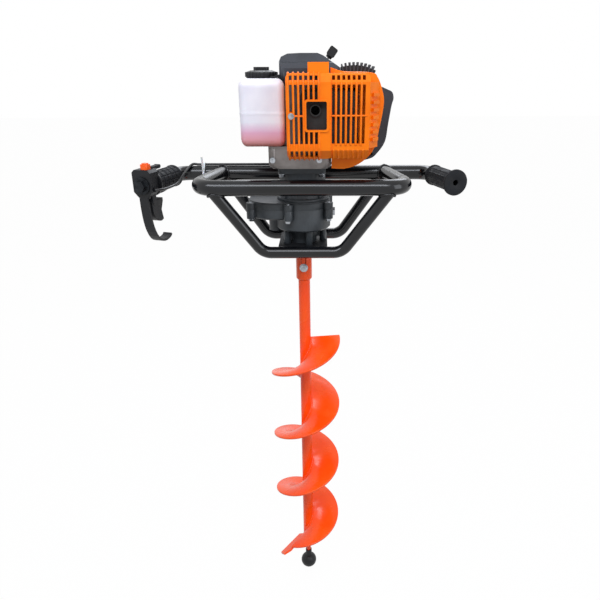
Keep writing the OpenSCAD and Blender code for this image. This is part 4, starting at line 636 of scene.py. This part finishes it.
EDGES_MM = {
    "base_plate": 1.2,
    "bit_socket": 0.6,
    "coupling_bolt": 0.5,
    "cutting_blade": 0.5,
    "gearbox_lower": 1.0,
    "gearbox_upper": 1.0,
    "hex_bolts": 0.5,
    "oil_plug": 0.5,
    "clutch_housing": 1.0,
    "fan_housing": 1.2,
    "crankcase_lower": 1.0,
    "crankcase_upper": 1.0,
    "cylinder_block": 0.4,
    "muffler": 0.8,
    "muffler_guard": 0.5,
    "engine_shroud": 0.8,
    "rear_shroud": 0.6,
    "cover_screws": 0.4,
    "starter_housing": 1.4,
    "carburettor": 0.6,
    "filter_base": 0.8,
    "filter_cover": 1.4,
    "fuel_cap": 0.8,
    "end_bolt": 0.6,
    "throttle_body": 1.2,
    "throttle_trigger": 1.0,
    "throttle_lock": 0.8,
    "stop_switch": 1.2,
    "pull_handle": 1.2,
    "choke_lever": 0.5,
    "cable_tie": 0.3,
    "tip_ball": 0.8,
}

OWN_FINISH = {"base_plate": dulled_enamel}

slots = {entry["node"]: entry["material_slot"] for entry in frame["record"]["subparts"]}
for name, solid in frame["nodes"].items():
    solid.data.materials.clear()
    solid.data.materials.append(OWN_FINISH.get(name, FINISHES[slots[name]]))
    if name in EDGES_MM and not solid.hide_render:
        softened(solid, EDGES_MM[name])


# Bit

FLIGHT_R, FLIGHT_PITCH, FLIGHT_TURNS, FLIGHT_T = 75, 159, 3.36, 5
FLIGHT_TOP = 662
FLIGHT_END = math.radians(8)
SHAFT_R = 12


def on_flight(r, turn, drop):
    """A point of the flight: r mm from the axis, turns from the top end, and drop mm below its top face."""
    angle = FLIGHT_END + 2 * math.pi * turn
    return Vector((r * math.cos(angle), r * math.sin(angle), FLIGHT_TOP + FLIGHT_PITCH * turn - drop)) * MM


def rolled_flight():
    """The screw: one rolled strip with a rounded rim."""
    section = [
        (SHAFT_R - 0.4, 0), (30, 0), (52, 0), (FLIGHT_R - 1.2, 0), (FLIGHT_R - 0.3, 0.5), (FLIGHT_R, 1.4),
        (FLIGHT_R, FLIGHT_T - 1.4), (FLIGHT_R - 0.3, FLIGHT_T - 0.5), (FLIGHT_R - 1.2, FLIGHT_T),
        (52, FLIGHT_T), (30, FLIGHT_T), (SHAFT_R - 0.4, FLIGHT_T),
    ]
    count = 420
    turns = [FLIGHT_TURNS * (k / count - 1) for k in range(count + 1)]
    rings = [[on_flight(r, turn, drop) for r, drop in section] for turn in turns]
    made = piece("screw_flight", mesh_of("screw_flight", *skin(rings)), "orange_paint", "bit")
    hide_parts("bit_flight")
    return softened(made, 0.4, 2, 50)


def flight_weld(name, drop):
    """The painted weld bead that joins the flight to its shaft, laid in short overlapping ripples."""
    count = 700
    turns = [(FLIGHT_TURNS - 0.02) * (k / count - 1) + 0.005 for k in range(count + 1)]
    line = [on_flight(SHAFT_R + 0.6, min(turn, -0.005), drop) for turn in turns]
    ripple = lambda t: (2.3 + 0.35 * math.sin(t * 900) + 0.25 * math.sin(t * 131)) * MM
    return piece(name, mesh_of(name, *skin(rings_along(line, ripple, 8))), "orange_paint", "bit")


rolled_flight()
flight_weld("flight_weld_upper", -0.4)
flight_weld("flight_weld_lower", FLIGHT_T + 0.4)


# Frame welds

WELD_STEPS = 72


def weld_round(name, start, way, tube_r, axis_point, axis_way, axis_r):
    """The bead where a tube that starts at start and runs along way meets another tube; millimetres."""
    start, way = Vector(start), Vector(way).normalized()
    axis_point, axis_way = Vector(axis_point), Vector(axis_way).normalized()
    side = way.orthogonal().normalized()
    other = way.cross(side)
    across = way - axis_way * way.dot(axis_way)
    line = []
    for k in range(WELD_STEPS):
        a = 2 * math.pi * k / WELD_STEPS
        foot = start + (side * math.cos(a) + other * math.sin(a)) * tube_r - axis_point
        foot -= axis_way * foot.dot(axis_way)
        half, rest = foot.dot(across), foot.length_squared - axis_r**2
        root = half * half - across.length_squared * rest
        if root < 0:
            continue
        t = (-half - math.sqrt(root)) / across.length_squared
        point = start + (side * math.cos(a) + other * math.sin(a)) * (tube_r + 0.3) + way * t
        line.append(point * MM)
    line += line[:2]
    ripple = lambda t: (2.4 + 0.4 * math.sin(t * 260)) * MM
    return piece(name, mesh_of(name, *skin(rings_along(line, ripple, 10))), "black_paint", "frame")


HOOP_R = 11
HOOP_Z, HOOP_Y, HOOP_CORNER, HOOP_BEND = 872, 67, 74, 30
HOOP_ANGLE = math.radians(54)
HOOP_TILT = math.atan((RAIL_Y - HOOP_Y) / (RAIL_Z - HOOP_Z))
SIDE_HALF, SIDE_BEND, SIDE_LEAN = 152, 36, math.radians(12)

for side in (-1, 1):
    for front, name in ((-1, "front"), (1, "rear")):
        leg = Vector((side * math.cos(HOOP_ANGLE), 0, math.sin(HOOP_ANGLE)))
        foot = Vector((side * HOOP_CORNER, 0, 0)) + leg * HOOP_BEND
        tilt = Matrix.Rotation(-front * HOOP_TILT, 3, "X")
        weld_round(
            f"{name}_hoop_weld_{'left' if side < 0 else 'right'}",
            tilt @ foot + Vector((0, front * HOOP_Y, HOOP_Z)),
            tilt @ leg,
            HOOP_R,
            (0, front * RAIL_Y, RAIL_Z),
            (1, 0, 0),
            RAIL_R,
        )
    weld_round(
        f"side_tube_weld_{'left' if side < 0 else 'right'}",
        (
            side * (SIDE_HALF + SIDE_BEND * math.cos(SIDE_LEAN)),
            SIDE_BEND - RAIL_Y + SIDE_BEND * math.sin(SIDE_LEAN),
            RAIL_Z,
        ),
        (-side * math.sin(SIDE_LEAN), math.cos(SIDE_LEAN), 0),
        RAIL_R,
        (0, RAIL_Y, RAIL_Z),
        (1, 0, 0),
        RAIL_R,
    )


# Muffler guard

GUARD_FRONT, GUARD_STEP, GUARD_LOW, GUARD_TOP = 106, 6, 1048.6, 1184.6
SLOT_PITCH, SLOT_W = 8.4, 5
LEFT_BAR, RIGHT_BAR = -18.2, 60.7
MID_BAR_Z = GUARD_LOW + 0.52 * (GUARD_TOP - GUARD_LOW)
WINDOW_X, WINDOW_Z, WINDOW_HALF_W, WINDOW_HALF_H = 28.5, GUARD_LOW + 71, 20, 25.5
BAR_R = (SLOT_PITCH - SLOT_W) / 2 + 0.2


def guard_face(x, front):
    """The guard's front from its top edge to its lower edge, rounded at its bends."""
    bends = [
        (x, 18 - front, GUARD_TOP - 0.6),
        (x, 10 - front, GUARD_TOP),
        (x, -front, GUARD_TOP - 13),
        (x, -front, GUARD_TOP - 40),
        (x, -front, GUARD_LOW + 40),
        (x, -front, GUARD_LOW + 15),
        (x, 12 - front, GUARD_LOW),
        (x, 18 - front, GUARD_LOW + 0.6),
    ]
    return smooth_route(bends, 4)


def left_bars():
    """Seven rounded bars run over the whole left field; those in the window's way stop at its frame."""
    lines = []
    for k in range(7):
        x = LEFT_BAR + k * SLOT_PITCH
        line = guard_face(x, GUARD_FRONT)
        if abs(x - WINDOW_X) < WINDOW_HALF_W:
            upper, lower = WINDOW_Z + WINDOW_HALF_H, WINDOW_Z - WINDOW_HALF_H
            lines.append([p for p in line if p.z > upper] + [Vector((x, -GUARD_FRONT, upper))])
            lines.append([Vector((x, -GUARD_FRONT, lower))] + [p for p in line if p.z < lower])
        else:
            lines.append(line)
    return bars("guard_left_bars", lines, BAR_R, "orange_plastic")


def right_bars():
    """Rounded bars of the right field, set back behind the ridge, and the short ribs under it."""
    y = GUARD_STEP - GUARD_FRONT
    lines = []
    for k in range(6):
        x = RIGHT_BAR + k * SLOT_PITCH
        lines.append([(x, y, GUARD_TOP - 15), (x, y, GUARD_LOW + 24)])
    for k in range(7):
        x = RIGHT_BAR - SLOT_PITCH / 2 + k * SLOT_PITCH
        lines.append([(x, y + back, GUARD_LOW + up) for back, up in ((0.8, 15), (6.4, 7.8), (11.6, 1))])
    return bars("guard_right_bars", lines, BAR_R, "orange_plastic")


left_bars()
right_bars()
bars(
    "guard_mid_bars",
    [
        [(-10, -GUARD_FRONT, MID_BAR_Z), (9, -GUARD_FRONT, MID_BAR_Z)],
        [(52, GUARD_STEP - GUARD_FRONT, MID_BAR_Z), (112, GUARD_STEP - GUARD_FRONT, MID_BAR_Z)],
    ],
    1.4,
    "orange_plastic",
)


# Cooling-air grille on the rear shroud

GRILLE_X, GRILLE_Z, GRILLE_R = 96.55, 1111.6, 85
GRILLE_START, GRILLE_END, GRILLE_STEPS = -24, 27, 39


def grille_arc(name, inner, outer, y0, y1):
    """A curved strip of the grille between two radii and two depths."""
    rings = []
    for k in range(GRILLE_STEPS + 1):
        a = math.radians(GRILLE_START + (GRILLE_END - GRILLE_START) * k / GRILLE_STEPS)
        across, up = math.sin(a), math.cos(a)
        corners = [(inner, y0), (outer, y0), (outer, y1), (inner, y1)]
        rings.append([Vector((GRILLE_X + r * across, y, GRILLE_Z + r * up)) * MM for r, y in corners])
    return softened(piece(name, mesh_of(name, *skin(rings)), "black_plastic", "frame"), 0.5, 2, 50)


grille_arc("grille_floor", 62, GRILLE_R - 5, 13, 53)
for number, depth in enumerate((12.6, 22, 31.5, 41, 50)):
    grille_arc(f"grille_rail_{number}", GRILLE_R - 7, GRILLE_R, depth, depth + 3.4)


# Lip between the two shrouds: the rear one is wider, and its lip closes the step behind the orange one

SHROUD_LEFT, SHROUD_LOW, SHROUD_W, SHROUD_H = 52, 1027.1, 99, 169
LIP_X, LIP_Z = SHROUD_LEFT + 0.45 * SHROUD_W, SHROUD_LOW + 0.5 * SHROUD_H
LIP_START, LIP_SWEEP, LIP_STEPS = -62, 108, 80
LIP_FRONT, LIP_BACK = 12.4, 14.2
# Points of each shroud's rim, as shares of the shroud's width and height
FRONT_RIM = [(0.57, 0.065), (0.78, 0.2), (0.87, 0.42), (0.93, 0.65), (0.89, 0.78), (0.81, 0.89), (0.7, 0.935)]
REAR_RIM = [
    (0.4, 0), (0.76, 0.035), (0.9, 0.09), (1.05, 0.22), (1.1, 0.41), (1.15, 0.6), (1.18, 0.67), (1.15, 0.735),
    (1.04, 0.768), (0.85, 0.82), (0.7, 0.915), (0.24, 0.928),
]


def rim_reach(rim, heading):
    """How far a shroud's rim is from the lip's middle along a heading, in millimetres."""
    left, low = SHROUD_LEFT, SHROUD_LOW
    line = smooth_route([(left + u * SHROUD_W - LIP_X, low + v * SHROUD_H - LIP_Z, 0) for u, v in rim], 5)
    way = Vector((math.cos(heading), math.sin(heading), 0))
    side = way.cross(Vector((0, 0, 1)))
    for a, b in zip(line, line[1:]):
        before, after = a.dot(side), b.dot(side)
        if before * after <= 0 and a.dot(way) > 0:
            return a.lerp(b, before / (before - after)).dot(way)
    return 0


def shroud_lip():
    """A flat strip from inside the front rim to just inside the rear rim."""
    rings = []
    for k in range(LIP_STEPS + 1):
        heading = math.radians(LIP_START + LIP_SWEEP * k / LIP_STEPS)
        inner = rim_reach(FRONT_RIM, heading) - 1.2
        outer = max(rim_reach(REAR_RIM, heading) - 0.4, inner + 0.5)
        corners = [(inner, LIP_FRONT), (outer, LIP_FRONT), (outer, LIP_BACK), (inner, LIP_BACK)]
        across, up = math.cos(heading), math.sin(heading)
        rings.append([Vector((LIP_X + r * across, y, LIP_Z + r * up)) * MM for r, y in corners])
    softened(piece("shroud_lip", mesh_of("shroud_lip", *skin(rings)), "dark_plastic", "frame"), 0.3, 2, 50)


shroud_lip()


# Tank bracket, between the starter housing's wall and the tank's top
slab(
    "tank_bracket",
    [(-52, 1176.6), (-41, 1176.6), (-36.3, 1169), (-36.3, 1182), (-41, 1182), (-44, 1179.6), (-52, 1179.6)],
    -38,
    -20,
    lambda x, z, y: (x, y, z),
    "black_plastic",
    0.8,
)


# Primer bulb: a moulded dome with a rolled rim, open to the carburettor above

BULB_X, BULB_Y, BULB_Z = 74, 67, 1097
BULB_HEIGHT, BULB_TRAVEL = 8.85, 4
bulb_profile = [(0, 8.6), (-0.5, 9), (-1.6, 9), (-2.1, 8.5), (-2.2, 7.4)] + [
    (-2.2 - 6.6 * math.sin(math.radians(a)), 7.3 * math.cos(math.radians(a))) for a in range(9, 90, 9)
] + [(-BULB_HEIGHT, 0.3)]
bulb = turned(
    "primer_dome",
    bulb_profile,
    lambda u, v, w: (BULB_X + u, BULB_Y + v, BULB_Z + w),
    40,
    "clear_bulb",
    "primer_bulb",
)
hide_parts("primer_bulb")
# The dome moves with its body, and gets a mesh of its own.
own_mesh(bulb)


# Grips: moulded rubber sleeves on the arms

TUBE_R = 14.3


def eased(value, start, end):
    """0 before start, 1 after end, smooth between."""
    t = min(max((value - start) / (end - start), 0), 1)
    return t * t * (3 - 2 * t)


def right_grip_sleeve():
    """A ribbed barrel between a collar and a round end flange with a drain hole."""
    start, end, flange_end = 10, 94, 99
    barrel = [(16.6 + k * 1.5, 18) for k in range(49)]
    profile = (
        [(start + 0.6, TUBE_R), (start, TUBE_R + 0.6), (start, 19.2), (start + 0.8, 20), (start + 4.2, 20)]
        + [(start + 5, 19.3), (start + 5.8, 18.2)]
        + barrel
        + [(90.5, 18.5), (92.4, 19.8), (93.6, 21.8), (end, 23.3), (end + 0.7, 24), (flange_end - 0.9, 24)]
        + [(flange_end - 0.2, 23.7), (flange_end, 23), (flange_end, 6), (flange_end - 0.7, 5.1), (end + 0.3, 5)]
        + [(end + 0.2, TUBE_R)]
    )

    def ribs(angle, along):
        fade = eased(along, 18, 21) * (1 - eased(along, 85, 88))
        return 1.1 * fade * max(0, math.cos(12 * angle)) ** 3

    made = turned("right_grip_sleeve", profile, on_right, 144, "black_rubber", swell=ribs, hollow=True)
    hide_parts("right_grip")


def throttle_grip_sleeve():
    """A barrel of raised pads in five rows of twelve, a collar at its root and a swell under the palm."""
    start, end = 8, 86
    barrel = [(14.2 + k * 0.9, 18.5) for k in range(79)]
    profile = (
        [(start + 0.6, TUBE_R), (start, TUBE_R + 0.6), (start, 20), (start + 1, 21), (start + 4, 21)]
        + [(start + 5, 20), (start + 5.6, 18.7)]
        + barrel
        + [(85.2, 18.3), (end, 17.6), (end, TUBE_R + 0.5), (end - 0.5, TUBE_R)]
    )

    def pads(angle, along):
        row = eased(abs(math.sin(math.pi * (along - 14) / 14.4)), 0.12, 0.34)
        column = eased(abs(math.sin(6 * angle)), 0.14, 0.36)
        inside = eased(along, 14, 15) * (1 - eased(along, 84.6, 85.6))
        palm = eased(along, 38, 66) * (1 - 0.4 * eased(along, 66, 86))
        return inside * (1.2 * row * column + 3.6 * palm * max(0, -math.sin(angle)) ** 2)

    made = turned("throttle_grip_sleeve", profile, on_left, 168, "black_rubber", swell=pads, hollow=True)
    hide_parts("throttle_grip")


right_grip_sleeve()
throttle_grip_sleeve()


# Fuel tank: a blow-moulded shell with soft edges, a parting line and a filler neck

TANK_LOW, TANK_TOP, NECK_TOP = 1065.15, 1176.15, 1185.15
NECK_X, NECK_Y, NECK_R, MOUTH_R, MOUTH_SIDES = -69, -12, 20, 17, 48
TANK_EDGE = 14
# Corners of the tank's plan: x, y, radius, and how far the side after it draws in at top and bottom
TANK_PLAN = [
    (-105, -70, 11, 10.5),
    (-27, -70, 11, 10.5),
    (-27, -46, 11, 10.5),
    (-45, -46, 4, 4),
    (-45, 62, 14, 10.5),
    (-105, 62, 14, 10.5),
]


def tank_outline():
    """Points of the plan with their outward headings and draw-ins, nine to a corner."""
    outline = []
    for k, (x, y, radius, draw) in enumerate(TANK_PLAN):
        before, after = TANK_PLAN[k - 1], TANK_PLAN[(k + 1) % len(TANK_PLAN)]
        come = Vector((x - before[0], y - before[1])).normalized()
        go = Vector((after[0] - x, after[1] - y)).normalized()
        bend = 1 if come.cross(go) > 0 else -1
        centre = Vector((x, y)) - come * radius + Vector((-come.y, come.x)) * radius * bend
        for step in range(9):
            out = Matrix.Rotation(math.radians(90 * bend * step / 8), 2) @ Vector((come.y, -come.x))
            outline.append((centre + out * radius * bend, out, before[3] + (draw - before[3]) * step / 8))
    return outline


def tank_shell():
    """The shell's rings draw in at the top and bottom edges, and the neck's hole is left open."""
    soft = [(math.sin(math.radians(a)), math.cos(math.radians(a))) for a in range(0, 91, 10)]
    levels = [(TANK_LOW + TANK_EDGE * (1 - c), 1 - s) for s, c in soft]
    middle = (TANK_LOW + TANK_TOP) / 2
    levels += [(TANK_LOW + TANK_EDGE + 3, 0), (middle - 5, 0), (middle - 3, 0), (middle - 1, -0.04)]
    levels += [(middle + 1, -0.04), (middle + 3, 0), (middle + 5, 0), (TANK_TOP - TANK_EDGE - 3, 0)]
    levels += [(TANK_TOP - TANK_EDGE * (1 - c), 1 - s) for s, c in reversed(soft)]
    outline = tank_outline()
    rings = [
        [Vector((*(point - out * draw * share), z)) * MM for point, out, draw in outline]
        for z, share in levels
    ]
    points, faces = skin(rings, capped=False)
    faces.append(tuple(reversed(range(len(outline)))))
    form = bmesh.new()
    corners = [form.verts.new(p) for p in points]
    for face in faces:
        form.faces.new([corners[k] for k in face])
    mouth = []
    for k in range(MOUTH_SIDES):
        a = 2 * math.pi * k / MOUTH_SIDES
        place = (NECK_X + MOUTH_R * math.cos(a), NECK_Y + MOUTH_R * math.sin(a), TANK_TOP)
        mouth.append(form.verts.new(Vector(place) * MM))
    rim = [form.edges.new((mouth[k - 1], mouth[k])) for k in range(MOUTH_SIDES)]
    top = corners[-len(outline) :]
    rim += [form.edges.get((top[k - 1], top[k])) for k in range(len(top))]
    bmesh.ops.triangle_fill(form, edges=rim, use_beauty=True)
    bmesh.ops.recalc_face_normals(form, faces=form.faces)
    mesh = bpy.data.meshes.new("tank_shell")
    form.to_mesh(mesh)
    form.free()
    made = piece("tank_shell", mesh, "tank_plastic", "frame")
    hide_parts("fuel_tank")


tank_shell()
turned(
    "tank_neck",
    [
        (TANK_TOP - 1, NECK_R),
        (NECK_TOP - 0.6, NECK_R),
        (NECK_TOP, 19.4),
        (NECK_TOP, 18.6),
        (NECK_TOP - 0.6, 18),
        (TANK_TOP - 1, MOUTH_R),
    ],
    lambda u, v, w: (NECK_X + u, NECK_Y + v, w),
    64,
    "tank_plastic",
    hollow=True,
)


# Floor and light: the floor's glow and its share make it white where it is seen

FLOOR_HALF, FLOOR_GLOW, FLOOR_SHARE = 14, 1.05, 0.93
ROOM_LIGHT = 0.56


def seen_ray(tree):
    """1 on a ray from the eye, straight, by a mirror or through glass, and 0 on one that carries light."""
    path = add(tree, "LightPath").outputs
    seen = path["Is Camera Ray"]
    for kind in ("Is Glossy Ray", "Is Transmission Ray"):
        seen = add(tree, "Math", {"operation": "MAXIMUM"}, {0: seen, 1: path[kind]}).outputs["Value"]
    return seen


def pale_floor():
    """A plain pale floor that fades to the white room and keeps the object's shadow."""
    material, tree = new_tree("pale_floor")
    shade = add(tree, "BsdfDiffuse", {"Color": linear("#8C8C8C")})
    glow = add(tree, "Emission", {"Color": linear("#FFFFFF"), "Strength": FLOOR_GLOW})
    share = add(tree, "Math", {"operation": "MULTIPLY", 1: FLOOR_SHARE}, {0: seen_ray(tree)})
    mix = add(
        tree,
        "MixShader",
        (),
        {"Fac": share.outputs["Value"], 1: shade.outputs["BSDF"], 2: glow.outputs["Emission"]},
    )
    add(tree, "OutputMaterial", (), {"Surface": mix.outputs["Shader"]})
    half = FLOOR_HALF
    corners = [(-half, -half, 0), (half, -half, 0), (half, half, 0), (-half, half, 0)]
    made = bpy.data.objects.new("floor", mesh_of("floor", corners, [(0, 1, 2, 3)]))
    bpy.context.scene.collection.objects.link(made)
    made.data.materials.append(material)


def white_room():
    """A soft white room: white where it is seen or mirrored, and a plain level where it lights."""
    world = bpy.data.worlds.new("room")
    bpy.context.scene.world = world
    world.use_nodes = True
    tree = world.node_tree
    tree.nodes.clear()
    strength = add(tree, "MapRange", {"To Min": ROOM_LIGHT, "To Max": 1.0}, {"Value": seen_ray(tree)})
    sky = add(tree, "Background", {"Color": linear("#FFFFFF")}, {"Strength": strength.outputs["Result"]})
    add(tree, "OutputWorld", (), {"Surface": sky.outputs["Background"]})


def soft_box(name, place, target, width, height, watts):
    """A rectangular studio light that faces target."""
    lamp = bpy.data.lights.new(name, "AREA")
    lamp.shape = "RECTANGLE"
    lamp.size, lamp.size_y, lamp.energy = width, height, watts
    lamp.color = linear("#F1F6FF")[:3]
    made = bpy.data.objects.new(name, lamp)
    bpy.context.scene.collection.objects.link(made)
    made.location = place
    made.rotation_euler = (Vector(target) - Vector(place)).to_track_quat("-Z", "Y").to_euler()


pale_floor()
white_room()
ENGINE = (0.02, 0, 1.0)
soft_box("key_light", (-0.5, -1.5, 2.6), ENGINE, 2.6, 0.7, 44)
soft_box("fill_light", (1.9, -1.3, 1.5), ENGINE, 1.2, 1.8, 18)
soft_box("back_light", (0.4, 1.9, 2.4), ENGINE, 1.8, 1.0, 22)
